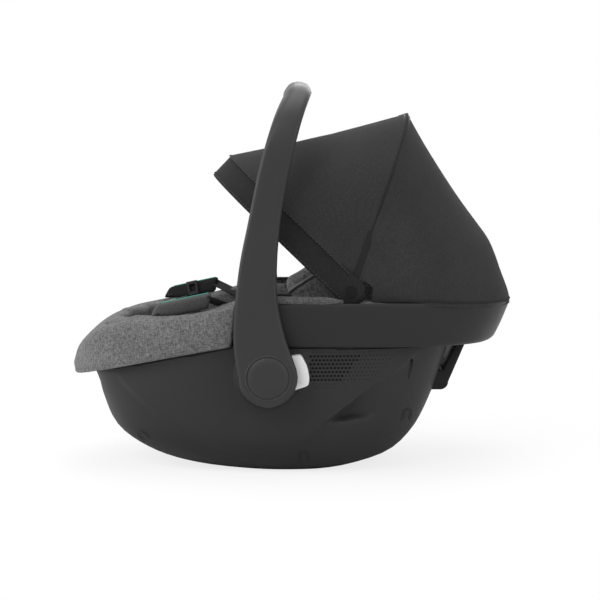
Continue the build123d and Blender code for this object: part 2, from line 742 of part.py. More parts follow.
for label, angle, half_width, reach, thickness, width, eye in (
    ("canopy_front_bow", FRONT_BOW_ANGLE, FRONT_BOW_Y, FRONT_BOW_REACH, FRONT_BOW_THICKNESS,
     FRONT_BOW_WIDTH, FRONT_BOW_WIDTH / 2),
    ("canopy_rear_bow", REAR_BOW_ANGLE, rear_bow_y, REAR_BOW_REACH, REAR_BOW_THICKNESS,
     REAR_BOW_WIDTH, REAR_EYE_RADIUS),
):
    with BuildPart() as bow:
        with BuildSketch(hood_plane(angle)):
            add(hood_arch(half_width, reach, thickness))
        extrude(amount=width / 2, both=True)
        for side in (-1, 1):
            with BuildSketch(hood_axis_plane.offset((half_width - thickness) * side)):
                Circle(eye)
            extrude(amount=thickness * side)
        with Locations(Pos(HOOD_X, 0, HOOD_Z) * Rot(90, 0, 0)):
            Cylinder(PIN_RADIUS + RUNNING_GAP, 2 * half_width, mode=Mode.SUBTRACT)
    save(bow.part, label)

# Canopy panels, stretched between the bows and the rim
panel_lift = FIT_GAP + PANEL_THICKNESS
front_half = FRONT_BOW_Y + panel_lift
rear_half = rear_bow_y + panel_lift
rear_reach = REAR_BOW_REACH + panel_lift
with BuildPart() as canopy_front_panel:
    with BuildSketch(hood_plane(FRONT_BOW_ANGLE).offset(FRONT_BOW_WIDTH / 2 + FIT_GAP)):
        add(hood_arch(front_half, FRONT_BOW_REACH + panel_lift, PANEL_THICKNESS, PANEL_START))
    with BuildSketch(hood_plane(REAR_BOW_ANGLE).offset(-REAR_BOW_WIDTH / 2 - FIT_GAP)):
        add(hood_arch(rear_half, rear_reach, PANEL_THICKNESS, PANEL_START))
    loft(ruled=True)
save(canopy_front_panel.part, "canopy_front_panel")

with BuildPart() as canopy_rear_panel:
    with BuildSketch(hood_plane(REAR_BOW_ANGLE).offset(REAR_BOW_WIDTH / 2 + FIT_GAP)):
        add(hood_arch(rear_half, rear_reach, PANEL_THICKNESS, PANEL_START))
    with BuildSketch(hood_plane(KINK_ANGLE)):
        add(hood_arch(front_half, KINK_REACH, PANEL_THICKNESS, PANEL_START))
    with BuildSketch(hood_plane(0).offset(HEM_DROP)):
        add(hood_arch(front_half, HEM_REACH, PANEL_THICKNESS, PANEL_START, HEM_CORNER))
    loft(ruled=True)
save(canopy_rear_panel.part, "canopy_rear_panel")

# Cushions under the child, crowned and channelled
with BuildPart() as seat_cushion:
    with BuildSketch(Plane.XZ):
        with BuildLine():
            heel = back_point(BACK_CUSHION_FROM - FIT_GAP, -CUT_OVERRUN)
            crest = back_point(BACK_CUSHION_FROM - FIT_GAP, BACK_CUSHION_LIFT)
            base = Line((SEAT_CUSHION_FOOT_X, 0), (heel[0], heel[2]))
            slope = Line(base @ 1, (crest[0], crest[2]))
            nose = Line(base @ 0, (SEAT_CUSHION_FOOT_X, SEAT_CUSHION_TOP_Z - CUSHION_EDGE))
            middle = ((nose @ 1) + (slope @ 1)) / 2
            ThreePointArc(nose @ 1, (middle.X, SEAT_CUSHION_TOP_Z), slope @ 1)
        make_face()
    extrude(amount=BACK_CUSHION_HALF, both=True)
    add(bucket_room, mode=Mode.INTERSECT)
save(seat_cushion.part, "seat_cushion")

lobe = (BACK_CUSHION_TO - BACK_CUSHION_FROM) / CHANNEL_COUNT
valley = BACK_CUSHION_LIFT - CHANNEL_DEPTH
back_side_plane = Plane(origin=back_plane.origin, x_dir=back_direction, z_dir=(0, -1, 0))
with BuildPart() as back_cushion:
    with BuildSketch(back_side_plane):
        with BuildLine():
            foot_line = Line((BACK_CUSHION_FROM, -CUT_OVERRUN), (BACK_CUSHION_FROM, valley))
            for channel in range(CHANNEL_COUNT):
                lobe_from = BACK_CUSHION_FROM + channel * lobe
                ThreePointArc(
                    (lobe_from, valley),
                    (lobe_from + lobe / 2, BACK_CUSHION_LIFT),
                    (lobe_from + lobe, valley),
                )
            Line((BACK_CUSHION_TO, valley), (BACK_CUSHION_TO, -CUT_OVERRUN))
            Line((BACK_CUSHION_TO, -CUT_OVERRUN), foot_line @ 0)
        make_face()
    extrude(amount=BACK_CUSHION_HALF, both=True)
    add(bucket_room, mode=Mode.INTERSECT)
save(back_cushion.part, "back_cushion")

# Head support, which slides along the back
headrest_low = BACK_CUSHION_LIFT + FIT_GAP
headrest_high = headrest_low + HEADREST_THICKNESS
with BuildPart() as headrest_back:
    with BuildSketch(back_plane.offset(headrest_low)):
        with Locations(((HEADREST_FROM + HEADREST_TO) / 2, 0)):
            RectangleRounded(HEADREST_TO - HEADREST_FROM, 2 * HEADREST_HALF, HEADREST_CORNER)
    extrude(amount=HEADREST_THICKNESS)
    fillet(headrest_back.faces().sort_by(Axis.Z)[-1].edges(), CUSHION_EDGE)
save(headrest_back.part, "headrest_back")

wing_plane = Plane(origin=back_point(WING_FROM, 0), x_dir=(0, 1, 0), z_dir=back_direction)
wing_inner_y = WING_OUTER_Y - WING_THICKNESS
with BuildPart() as wing_side:
    with BuildSketch(back_side_plane):
        with BuildLine():
            FilletPolyline(
                (WING_FROM, headrest_low),
                (WING_FROM, WING_LIFT - WING_CORNER),
                (WING_FROM + WING_CORNER, WING_LIFT),
                (HEADREST_TO - WING_THICKNESS, WING_LIFT),
                (HEADREST_TO + WING_THICKNESS, WING_LIFT / 2),
                (HEADREST_TO, headrest_low),
                radius=WING_THICKNESS / 2,
                close=True,
            )
        make_face()
    extrude(amount=WING_OUTER_Y, both=True)
with BuildPart() as headrest_wing:
    with BuildSketch(wing_plane):
        with BuildLine():
            Polyline(
                (-WING_TOE_Y, headrest_high + FIT_GAP),
                (-HEADREST_HALF, headrest_high + FIT_GAP),
                (-WING_OUTER_Y, WING_FOOT_LIFT),
                (-WING_OUTER_Y, WING_LIFT),
                (-wing_inner_y, WING_LIFT),
                (-wing_inner_y, WING_FOOT_LIFT + WING_THICKNESS),
                (-WING_TOE_Y, WING_FOOT_LIFT),
                close=True,
            )
        make_face()
    extrude(amount=HEADREST_TO - WING_FROM + WING_THICKNESS)
    add(wing_side.part, mode=Mode.INTERSECT)
save_pair(headrest_wing.part, "headrest_wing")

with BuildPart() as headrest_pull:
    with BuildSketch(back_plane.offset(headrest_low + HEADREST_THICKNESS / 2 - PULL_THICKNESS / 2)):
        with Locations((HEADREST_TO + FIT_GAP + PULL_LENGTH / 2, 0)):
            RectangleRounded(PULL_LENGTH, 2 * PULL_HALF, PULL_THICKNESS)
            RectangleRounded(
                PULL_LENGTH - 2 * PULL_THICKNESS,
                2 * (PULL_HALF - PULL_THICKNESS),
                PULL_THICKNESS / 2,
                mode=Mode.SUBTRACT,
            )
    extrude(amount=PULL_THICKNESS)
save(headrest_pull.part, "headrest_pull")

# Harness pads, straps and tongues, sprung open at the sides
pad_frame = Pos(PAD_FOOT_X, -PAD_Y, PAD_FOOT_Z) * Rot(0, -PAD_SLOPE, 0) * Rot(PAD_LEAN, 0, 0)
with BuildPart() as chest_pad:
    with BuildSketch(Plane.XZ.offset(-PAD_THICKNESS / 2)):
        with BuildLine():
            FilletPolyline(
                (0, PAD_TIP_HEIGHT),
                (PAD_TIP_RUN, PAD_HEIGHT),
                (PAD_LENGTH, PAD_HEIGHT),
                (PAD_LENGTH - PAD_RAKE, 0),
                (PAD_KEEL_RUN, 0),
                radius=PAD_CORNER,
                close=True,
            )
        make_face()
    extrude(amount=PAD_THICKNESS)
    fillet(chest_pad.edges().filter_by(Axis.Y, reverse=True), PAD_EDGE)
save_pair(pad_frame * chest_pad.part, "chest_pad")

tongue_y = (PAD_THICKNESS + TONGUE_THICKNESS) / 2 + FIT_GAP
with BuildPart() as buckle_tongue:
    with Locations(pad_frame * Pos(TONGUE_ALONG, tongue_y, PAD_HEIGHT / 2)):
        Box(TONGUE_LENGTH, TONGUE_THICKNESS, TONGUE_WIDTH)
        Box(TONGUE_LENGTH / 2, TONGUE_THICKNESS, TONGUE_WIDTH / 2, mode=Mode.SUBTRACT)
save_pair(buckle_tongue.part, "buckle_tongue")

pad_end_z = PAD_HEIGHT - SHOULDER_STRAP_WIDTH / 2
pad_end = (pad_frame * Pos(PAD_LENGTH - PAD_RAKE / 2, 0, pad_end_z)).position
strap_slot = Vector(*back_point(STRAP_SLOT_ALONG, headrest_high + STRAP_WIDTH / 2, -STRAP_SLOT_Y))
strap_run = strap_slot - pad_end
strap_edge = strap_run.cross(Vector(0, 1, STRAP_TURN))
strap_plane = Plane(origin=pad_end, x_dir=strap_run, z_dir=strap_edge.cross(strap_run))
strap_length = strap_run.length - STRAP_PAD_GAP - STRAP_SLOT_GAP
with BuildPart() as shoulder_strap:
    with BuildSketch(strap_plane):
        with Locations((STRAP_PAD_GAP + strap_length / 2, 0)):
            Rectangle(strap_length, SHOULDER_STRAP_WIDTH)
    extrude(amount=STRAP_THICKNESS / 2, both=True)
save_pair(shoulder_strap.part, "shoulder_strap")

# Crotch strap, pad and buckle
buckle_foot_z = BUCKLE_Z + FIT_GAP
with BuildPart() as crotch_strap:
    with Locations((BUCKLE_X, 0, (CROTCH_FOOT_Z + BUCKLE_Z) / 2)):
        Box(STRAP_THICKNESS, STRAP_WIDTH, BUCKLE_Z - CROTCH_FOOT_Z)
save(crotch_strap.part, "crotch_strap")

button_z = BUCKLE_Z + BUTTON_CAP_RISE
with BuildPart() as buckle_housing:
    with Locations((BUCKLE_X, 0, buckle_foot_z + BUCKLE_HEIGHT / 2)):
        Box(BUCKLE_DEPTH, BUCKLE_WIDTH, BUCKLE_HEIGHT)
    fillet(buckle_housing.edges(), BUCKLE_EDGE)
    with BuildSketch(Plane.YZ.offset(BUCKLE_X - BUCKLE_DEPTH / 2)):
        with Locations((0, button_z)):
            Rectangle(BUTTON_CAP_WIDTH + 2 * FIT_GAP, BUTTON_CAP_HEIGHT + 2 * FIT_GAP)
    extrude(amount=BUTTON_CAP_DEPTH + PRESS_TRAVEL, mode=Mode.SUBTRACT)
save(buckle_housing.part, "buckle_housing")

with BuildPart() as buckle_button:
    with BuildSketch(Plane.YZ.offset(BUCKLE_X - BUCKLE_DEPTH / 2 - BUTTON_CAP_PROUD)):
        with Locations((0, button_z)):
            Rectangle(BUTTON_CAP_WIDTH, BUTTON_CAP_HEIGHT)
    extrude(amount=BUTTON_CAP_DEPTH + BUTTON_CAP_PROUD)
save(buckle_button.part, "buckle_button")

with BuildPart() as crotch_pad:
    with Locations((
        BUCKLE_X + BUCKLE_DEPTH / 2 + FIT_GAP + CROTCH_PAD_THICKNESS / 2,
        0,
        CROTCH_FOOT_Z + CROTCH_PAD_HEIGHT / 2,
    )):
        Box(CROTCH_PAD_THICKNESS, CROTCH_PAD_WIDTH, CROTCH_PAD_HEIGHT)
    fillet(crotch_pad.edges(), CROTCH_PAD_EDGE)
save(crotch_pad.part, "crotch_pad")

# Harness adjuster on the slope in front of the seat
floor_level, knee_level = BUCKET_LEVELS[:2]
front_run = Vector(knee_level[1] - floor_level[1], 0, knee_level[0] - floor_level[0])
front_share = (ADJUSTER_X - floor_level[1]) / front_run.X
adjuster_z = floor_level[0] + front_run.Z * front_share
adjuster_plane = Plane(
    origin=(ADJUSTER_X + room_inset, 0, adjuster_z),
    x_dir=front_run,
    z_dir=(front_run.Z, 0, -front_run.X),
)
with BuildPart() as adjuster_housing:
    with BuildSketch(adjuster_plane.offset(-ADJUSTER_HEIGHT)):
        RectangleRounded(ADJUSTER_LENGTH, ADJUSTER_WIDTH, BUCKLE_EDGE)
    extrude(amount=2 * ADJUSTER_HEIGHT)
    add(bucket_room, mode=Mode.INTERSECT)
    with BuildSketch(adjuster_plane.offset(ADJUSTER_HEIGHT)):
        Rectangle(BUTTON_CAP_HEIGHT + 2 * FIT_GAP, BUTTON_CAP_WIDTH + 2 * FIT_GAP)
    extrude(amount=-BUTTON_CAP_DEPTH - PRESS_TRAVEL, mode=Mode.SUBTRACT)
save(adjuster_housing.part, "adjuster_housing")

with BuildPart() as adjuster_button:
    with BuildSketch(adjuster_plane.offset(ADJUSTER_HEIGHT + BUTTON_CAP_PROUD)):
        Rectangle(BUTTON_CAP_HEIGHT, BUTTON_CAP_WIDTH)
    extrude(amount=-BUTTON_CAP_DEPTH - BUTTON_CAP_PROUD)
save(adjuster_button.part, "adjuster_button")

strap_from_x = ADJUSTER_X + room_inset - ADJUSTER_LENGTH / 2
with BuildPart() as adjuster_strap:
    add(bucket_room)
    add(
        span_block(
            FOOT_X, strap_from_x - FIT_GAP, BACK_FOOT_Z, ADJUSTER_STRAP_TOP_Z, ADJUSTER_STRAP_WIDTH / 2
        ),
        mode=Mode.INTERSECT,
    )
    add(egg_body(room_levels, room_inset + STRAP_THICKNESS), mode=Mode.SUBTRACT)
save(adjuster_strap.part, "adjuster_strap")
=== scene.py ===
import math

import bmesh
import bpy
import numpy as np
from mathutils import Matrix, Vector, noise
from mathutils.bvhtree import BVHTree


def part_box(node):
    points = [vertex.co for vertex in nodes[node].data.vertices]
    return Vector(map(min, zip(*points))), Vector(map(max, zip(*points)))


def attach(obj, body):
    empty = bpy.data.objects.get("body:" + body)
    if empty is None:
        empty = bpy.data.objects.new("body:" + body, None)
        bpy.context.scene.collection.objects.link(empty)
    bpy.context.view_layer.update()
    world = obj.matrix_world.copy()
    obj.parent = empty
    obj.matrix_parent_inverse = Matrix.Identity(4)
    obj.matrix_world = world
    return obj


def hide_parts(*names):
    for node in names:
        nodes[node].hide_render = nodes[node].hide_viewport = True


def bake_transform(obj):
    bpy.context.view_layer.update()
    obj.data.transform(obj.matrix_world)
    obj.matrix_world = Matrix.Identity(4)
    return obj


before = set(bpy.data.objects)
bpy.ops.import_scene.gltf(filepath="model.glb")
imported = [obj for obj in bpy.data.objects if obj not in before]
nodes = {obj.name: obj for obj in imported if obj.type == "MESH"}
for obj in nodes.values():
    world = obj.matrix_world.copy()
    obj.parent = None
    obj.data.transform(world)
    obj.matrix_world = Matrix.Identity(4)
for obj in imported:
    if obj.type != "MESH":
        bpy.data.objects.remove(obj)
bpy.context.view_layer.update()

MM = 0.001

# Sizes in millimetres, the same as the solids'
WIDEST_X = 10.0
EGG_POINTS = 12
EGG_POWER = 2.6
SHELL_LEVELS = [
    (0, -125, 76, 118), (6, -170, 110, 134), (20, -217, 152, 150), (50, -265, 185, 165),
    (100, -291, 212, 173), (150, -301, 230, 177), (200, -305, 248, 180),
]
RIM_LEVELS = [(120, -335, 281, 179), (270, -338, 345, 198)]
RIM_JOIN_X = -84.0
RIM_LOW_EDGE = [(-345, 132), (-291, 148), (-184, 172), (RIM_JOIN_X, 192), (350, 187)]
RIM_HIGH_EDGE = [
    (-345, 150), (-335, 165), (-318, 188), (-295, 206), (-255, 222), (-215, 230), (-150, 237),
    (RIM_JOIN_X, 254), (100, 255), (240, 253), (350, 246),
]
BUCKET_LEVELS = [
    (56, -165, 0, 90), (100, -228, 66.7, 118), (150, -260, 142.6, 136), (200, -270, 218.4, 146),
    (262, -276, 312.4, 152),
]
PIVOT = (-36.4, 150.0)
HUB_RADIUS = 42.5
HANDLE_INNER_Y, HANDLE_OUTER_Y = 199.0, 219.0
HANDLE_TOP_Z, GRIP_LOW_Z = 579.0, 552.0
HANDLE_FOOT_EDGE = [
    (-83, 170), (-86, 205), (-83, 260), (-76, 317), (-66, 366), (-42, 475), (-24, 533), (-13, 560),
]
HANDLE_HEAD_EDGE = [
    (1, 172), (-11, 206), (-22, 258), (-23, 317), (-19, 366), (1, 475), (17, 533), (28, 562),
]
HOOD = (84.0, 271.0)
HOOD_CENTRE = np.array([HOOD[0], 0.0, HOOD[1]])
BACK_ANGLE = math.radians(33.4)
BACK_FOOT_Z = 56.0
SIDES = ((-1, "left"), (1, "right"))


# Shape helpers
def egg(foot, head, half_width):
    """Corner points of a blunt egg, seen from above."""
    points = []
    for step in range(EGG_POINTS):
        along = math.cos(math.tau * step / EGG_POINTS)
        across = math.sin(math.tau * step / EGG_POINTS)
        reach = head - WIDEST_X if along > 0 else WIDEST_X - foot
        points.append((
            WIDEST_X + math.copysign(abs(along) ** (2 / EGG_POWER), along) * reach,
            math.copysign(abs(across) ** (2 / EGG_POWER), across) * half_width,
        ))
    return points


def ring(points, count):
    """Closed smooth line through points, evenly sampled."""
    p = np.array(points, float)
    n = len(p)
    after = np.roll(p, -1, 0)
    h = np.linalg.norm(after - p, axis=1)
    system = np.zeros((n, n))
    for i in range(n):
        system[i, i - 1] += h[i - 1]
        system[i, i] += 2 * (h[i - 1] + h[i])
        system[i, (i + 1) % n] += h[i]
    slope = (after - p) / h[:, None]
    m = np.linalg.solve(system, 6 * (slope - np.roll(slope, 1, 0)))
    ends = np.cumsum(h)
    t = np.linspace(0, ends[-1], count, endpoint=False)
    k = np.minimum(np.searchsorted(ends, t, side="right"), n - 1)
    u = (t - ends[k] + h[k])[:, None]
    w = h[k][:, None]
    m0, m1 = m[k], np.roll(m, -1, 0)[k]
    return (
        (m0 * (w - u) ** 3 + m1 * u**3) / (6 * w)
        + (p[k] / w - m0 * w / 6) * (w - u)
        + (after[k] / w - m1 * w / 6) * u
    )


def egg_ring(level, count, inset=0.0):
    """Points round an egg at its height."""
    height, foot, head, half_width = level
    flat = ring(egg(foot + inset, head - inset, half_width - inset), count)
    return np.column_stack([flat, np.full(count, float(height))])


def through(stack, steps):
    """Smooth lines through a stack of point rows, sampled between each two rows."""
    stack = np.asarray(stack, float)
    h = np.maximum(np.linalg.norm(np.diff(stack, axis=0), axis=2).mean(1), 1e-6)
    slope = np.diff(stack, axis=0) / h[:, None, None]
    tangent = np.empty_like(stack)
    tangent[1:-1] = (
        slope[:-1] * h[1:, None, None] + slope[1:] * h[:-1, None, None]
    ) / (h[:-1] + h[1:])[:, None, None]
    tangent[0] = 1.5 * slope[0] - 0.5 * tangent[1]
    tangent[-1] = 1.5 * slope[-1] - 0.5 * tangent[-2]
    rows = []
    for k in range(len(h)):
        for t in np.linspace(0, 1, steps, endpoint=False):
            rows.append(
                (2 * t**3 - 3 * t**2 + 1) * stack[k]
                + (t**3 - 2 * t**2 + t) * h[k] * tangent[k]
                + (3 * t**2 - 2 * t**3) * stack[k + 1]
                + (t**3 - t**2) * h[k] * tangent[k + 1]
            )
    rows.append(stack[-1])
    return np.array(rows)


def line_through(points, count):
    """Open smooth line through points, evenly sampled."""
    points = np.asarray(points, float)
    fine = through(points[:, None, :], 24)[:, 0]
    return evenly(fine, count)


def evenly(line, count):
    """Points spaced evenly along a line of points."""
    line = np.asarray(line, float)
    along = np.concatenate([[0], np.cumsum(np.linalg.norm(np.diff(line, axis=0), axis=1))])
    t = np.linspace(0, along[-1], count)
    return np.column_stack([np.interp(t, along, line[:, k]) for k in range(line.shape[1])])


def edge_at(edge, x):
    """Height of a side-view edge at x."""
    return np.interp(x, [p[0] for p in edge], [p[1] for p in edge])


rim_high_line = np.vstack([
    line_through(RIM_HIGH_EDGE[:8], 120), np.array(RIM_HIGH_EDGE[8:], float),
])


def high_at(x):
    """Height of the rim's top edge at x."""
    return np.interp(x, rim_high_line[:, 0], rim_high_line[:, 1])


def grid(rows, around=False, caps=False):
    """Points and quads over rows of points."""
    rows = np.asarray(rows, float)
    r, c = rows.shape[:2]
    faces = []
    for i in range(r - 1):
        for j in range(c if around else c - 1):
            after = (j + 1) % c
            faces.append((i * c + j, i * c + after, (i + 1) * c + after, (i + 1) * c + j))
    if caps:
        faces.append(tuple(range(c))[::-1])
        faces.append(tuple((r - 1) * c + k for k in range(c)))
    return rows.reshape(-1, 3), faces


def joined(shapes):
    """Several shapes as one list of points and faces."""
    points, faces = [], []
    for p, f in shapes:
        faces += [tuple(k + len(points) for k in face) for face in f]
        points += list(p)
    return np.array(points), faces


def prism(outline, side, depths):
    """Closed form with an outline seen from the seat's side, between two depths."""
    return grid([[(x, side * y, z) for x, z in outline] for y in depths], around=True, caps=True)


def rounded(half_x, half_y, radius, per_corner=4, between=()):
    """Closed outline of a rectangle with round corners, as (x, y), with more points between corners."""
    outline = []
    for cx, cy, turn in ((1, 1, 0), (-1, 1, 90), (-1, -1, 180), (1, -1, 270)):
        for step in range(per_corner + 1):
            a = math.radians(turn + 90 * step / per_corner)
            outline.append((
                cx * (half_x - radius) + radius * math.cos(a),
                cy * (half_y - radius) + radius * math.sin(a),
            ))
    size = per_corner + 1
    full = []
    for corner in range(4):
        full += outline[corner * size:(corner + 1) * size]
        a, b = full[-1], outline[(corner + 1) * size % len(outline)]
        full += [(a[0] + (b[0] - a[0]) * t, a[1] + (b[1] - a[1]) * t) for t in between]
    return np.array(full)


def back_point(along, lift, y=0.0):
    """Point above the slope of the seat's back."""
    return np.array([
        along * math.cos(BACK_ANGLE) - lift * math.sin(BACK_ANGLE),
        y,
        BACK_FOOT_Z + along * math.sin(BACK_ANGLE) + lift * math.cos(BACK_ANGLE),
    ])


def ripple(point, scale, seed=0.0):
    """Smooth noise at a point in millimetres."""
    return noise.noise(Vector(point) * scale + Vector((seed, 2 * seed, -seed)))


# Materials
def tree_of(name):
    """A material with a shader, and where a point lies on its piece."""
    material = bpy.data.materials.new(name)
    material.use_nodes = True
    tree = material.node_tree
    tree.nodes.clear()
    output = tree.nodes.new("ShaderNodeOutputMaterial")
    shader = tree.nodes.new("ShaderNodeBsdfPrincipled")
    tree.links.new(shader.outputs[0], output.inputs[0])
    return material, tree, shader, put(tree, "ShaderNodeTexCoord").outputs["Object"]


def put(tree, kind, inputs=None, **settings):
    """A node with its settings, inputs and links."""
    made = tree.nodes.new(kind)
    for key, value in settings.items():
        setattr(made, key, value)
    for key, value in (inputs or {}).items():
        if isinstance(value, bpy.types.NodeSocket):
            tree.links.new(value, made.inputs[key])
        else:
            made.inputs[key].default_value = value
    return made


def grey(value):
    return (value, value, value, 1.0)


def blend_colours(tree, factor, low, high):
    made = put(tree, "ShaderNodeMix", data_type="RGBA")
    tree.links.new(factor, made.inputs[0])
    for socket, value in ((6, low), (7, high)):
        if isinstance(value, bpy.types.NodeSocket):
            tree.links.new(value, made.inputs[socket])
        else:
            made.inputs[socket].default_value = value
    return made.outputs[2]


def spread_to(tree, value, low, high, to_low, to_high):
    return put(
        tree, "ShaderNodeMapRange",
        {0: value, 1: low, 2: high, 3: to_low, 4: to_high},
    ).outputs[0]


def noise_of(tree, coordinates, scale, detail=3.0, stretch=None):
    if stretch:
        coordinates = put(tree, "ShaderNodeMapping", {0: coordinates, 3: stretch}).outputs[0]
    return put(
        tree, "ShaderNodeTexNoise", {0: coordinates, "Scale": scale, "Detail": detail}
    ).outputs[0]


def maths(tree, operation, a, b=None):
    inputs = {0: a}
    if b is not None:
        inputs[1] = b
    return put(tree, "ShaderNodeMath", inputs, operation=operation).outputs[0]


def surface(tree, shader, colour, rough, height, strength, distance=0.0004):
    """Links a colour, a roughness and a bump to a shader."""
    bump = put(tree, "ShaderNodeBump", {"Strength": strength, "Distance": distance, "Height": height})
    for name, value in (("Base Color", colour), ("Roughness", rough), ("Normal", bump.outputs[0])):
        tree.links.new(value, shader.inputs[name])


def plastic(name, colour, rough, grain=900.0, depth=0.12, wear=0.35, specular=0.5):
    """Moulded plastic: fine grain, uneven gloss and slightly paler worn edges."""
    material, tree, shader, place = tree_of(name)
    broad = noise_of(tree, place, 9.0, 2.0)
    fine = noise_of(tree, place, grain, 2.0)
    pebbles = put(tree, "ShaderNodeTexVoronoi", {0: place, "Scale": grain * 0.8}).outputs[0]
    low, high = (tuple(c * share for c in colour[:3]) + (1,) for share in (0.88, 1.1))
    base = blend_colours(tree, broad, low, high)
    edge = put(tree, "ShaderNodeNewGeometry").outputs["Pointiness"]
    worn = spread_to(tree, edge, 0.52, 0.6, 0.0, wear)
    pale = tuple(min(1.0, c * 2.2 + 0.02) for c in colour[:3]) + (1,)
    gloss = spread_to(tree, broad, 0.3, 0.7, rough - 0.05, rough + 0.06)
    height = maths(tree, "ADD", fine, pebbles)
    surface(tree, shader, blend_colours(tree, worn, base, pale), gloss, height, depth)
    shader.inputs["Specular IOR Level"].default_value = specular
    return material


def woven(name, dark, light, pitch=0.0011, fleck=420.0, streak=(1.0, 1.0, 1.0), weave=0.35, sheen=0.25,
          contrast=(0.38, 0.62)):
    """Woven cloth: crossing threads, flecks of two yarns and a soft sheen."""
    material, tree, shader, place = tree_of(name)
    yarns = noise_of(tree, place, fleck, 4.0, streak)
    if streak != (1.0, 1.0, 1.0):
        weft = noise_of(tree, place, fleck, 4.0, streak[::-1])
        yarns = maths(tree, "MULTIPLY", maths(tree, "ADD", yarns, weft), 0.5)
    broad = noise_of(tree, place, 14.0, 2.0)
    split = put(tree, "ShaderNodeSeparateXYZ", {0: place})
    threads = [
        maths(tree, "SINE", maths(tree, "MULTIPLY", split.outputs[k], math.tau / pitch)) for k in range(3)
    ]
    crossing = maths(
        tree, "ADD", maths(tree, "ABSOLUTE", threads[0]),
        maths(tree, "ADD", maths(tree, "ABSOLUTE", threads[1]), maths(tree, "ABSOLUTE", threads[2])),
    )
    mixed = blend_colours(tree, spread_to(tree, yarns, contrast[0], contrast[1], 0.0, 1.0), dark, light)
    shade = spread_to(tree, crossing, 0.4, 2.6, 0.82, 1.1)
    toned = put(tree, "ShaderNodeHueSaturation", {"Color": mixed})
    tree.links.new(maths(tree, "MULTIPLY", shade, spread_to(tree, broad, 0.3, 0.7, 0.92, 1.08)),
                   toned.inputs["Value"])
    rough = spread_to(tree, yarns, 0.3, 0.7, 0.82, 0.96)
    height = maths(tree, "ADD", crossing, maths(tree, "MULTIPLY", yarns, 1.5))
    surface(tree, shader, toned.outputs[0], rough, height, weave)
    shader.inputs["Sheen Weight"].default_value = sheen
    shader.inputs["Sheen Roughness"].default_value = 0.5
    shader.inputs["Specular IOR Level"].default_value = 0.2
    return material


def metal(name):
    """Brushed steel."""
    material, tree, shader, place = tree_of(name)
    brushed = noise_of(tree, place, 300.0, 3.0, (1.0, 0.03, 1.0))
    rough = spread_to(tree, brushed, 0.3, 0.7, 0.28, 0.42)
    surface(tree, shader, blend_colours(tree, brushed, grey(0.42), grey(0.62)), rough, brushed, 0.1, 0.0002)
    shader.inputs["Metallic"].default_value = 1.0
    return material


def thread(name, colour):
    """Twisted sewing thread."""
    material, tree, shader, place = tree_of(name)
    twist = put(
        tree, "ShaderNodeTexWave", {0: place, "Scale": 900.0, "Distortion": 2.0}, bands_direction="DIAGONAL"
    ).outputs[1]
    dim = tuple(c * 0.6 for c in colour[:3]) + (1,)
    rough = spread_to(tree, twist, 0.0, 1.0, 0.6, 0.8)
    surface(tree, shader, blend_colours(tree, twist, dim, colour), rough, twist, 0.4, 0.0003)
    shader.inputs["Sheen Weight"].default_value = 0.2
    return material


MELANGE = {"fleck": 360.0, "streak": (0.45, 0.8, 1.7), "contrast": (0.36, 0.64), "sheen": 0.1}
MATERIALS = {
    "shell": plastic("shell_plastic", grey(0.0195), 0.56, depth=0.16, specular=0.22),
    "rim": plastic("rim_plastic", grey(0.0125), 0.5, depth=0.12, specular=0.25),
    "handle": plastic("handle_plastic", grey(0.021), 0.44, grain=1300.0, depth=0.06, specular=0.28),
    "black": plastic("black_plastic", grey(0.007), 0.52, specular=0.18),
    # Near-black: the canopy pins' own colour, and painted shade on the walls of the shell's vent holes and
    # slit.
    "dark": plastic("pin_plastic", grey(0.004), 0.7, specular=0.05),
    "gear": plastic("gear_plastic", grey(0.3), 0.5),
    "button": plastic("button_plastic", grey(0.68), 0.46, depth=0.05, wear=0.1, specular=0.3),
    "red": plastic("red_plastic", (0.5, 0.02, 0.015, 1.0), 0.28, depth=0.03),
    "grip": plastic("grip_rubber", grey(0.012), 0.7, grain=500.0, depth=0.3, specular=0.2),
    "steel": metal("bar_steel"),
    "melange": woven("melange_cloth", grey(0.052), grey(0.185), **MELANGE),
    "roll": woven("roll_cloth", grey(0.035), grey(0.12), **MELANGE),
    # The melange cloth made lighter for the headrest: painted light against the shade under the canopy.
    "headrest": woven("headrest_cloth", grey(0.075), grey(0.26), **MELANGE),
    "canopy": woven("canopy_cloth", grey(0.02), grey(0.033), pitch=0.0009, fleck=700.0, sheen=0.0),
    "band": woven("band_cloth", grey(0.011), grey(0.02), pitch=0.0009, fleck=700.0, sheen=0.0),
    "pad": woven("pad_cloth", grey(0.05), grey(0.075), pitch=0.0008, fleck=600.0, sheen=0.08),
    # Darker cloth for the chest pads' inner faces: painted shade.
    "lining": woven("pad_lining", grey(0.01), grey(0.02), pitch=0.0008, fleck=600.0, sheen=0.0),
    "webbing": woven(
        "webbing_cloth", grey(0.008), grey(0.02), pitch=0.0016, fleck=500.0, weave=0.6, sheen=0.06
    ),
    "green": thread("green_thread", (0.04, 0.3, 0.22, 1.0)),
    "stitch": thread("grey_thread", grey(0.06)),
    "dark_stitch": thread("dark_thread", grey(0.012)),
}


# Making pieces
def make(name, shape, look, sharp=40.0, closed=True):
    """A mesh object from points in millimetres and faces."""
    points, faces = shape
    mesh = bpy.data.meshes.new(name)
    mesh.from_pydata([tuple(float(c) * MM for c in p) for p in points], [], faces)
    tidy = bmesh.new()
    tidy.from_mesh(mesh)
    bmesh.ops.remove_doubles(tidy, verts=tidy.verts, dist=1e-6)
    if closed:
        bmesh.ops.recalc_face_normals(tidy, faces=tidy.faces)
    tidy.to_mesh(mesh)
    tidy.free()
    return dress(bpy.data.objects.new(name, mesh), look, sharp)


def loft(name, rows, look, sharp):
    """A closed piece over rows of points that each close round."""
    return make(name, grid(rows, around=True, caps=True), look, sharp)


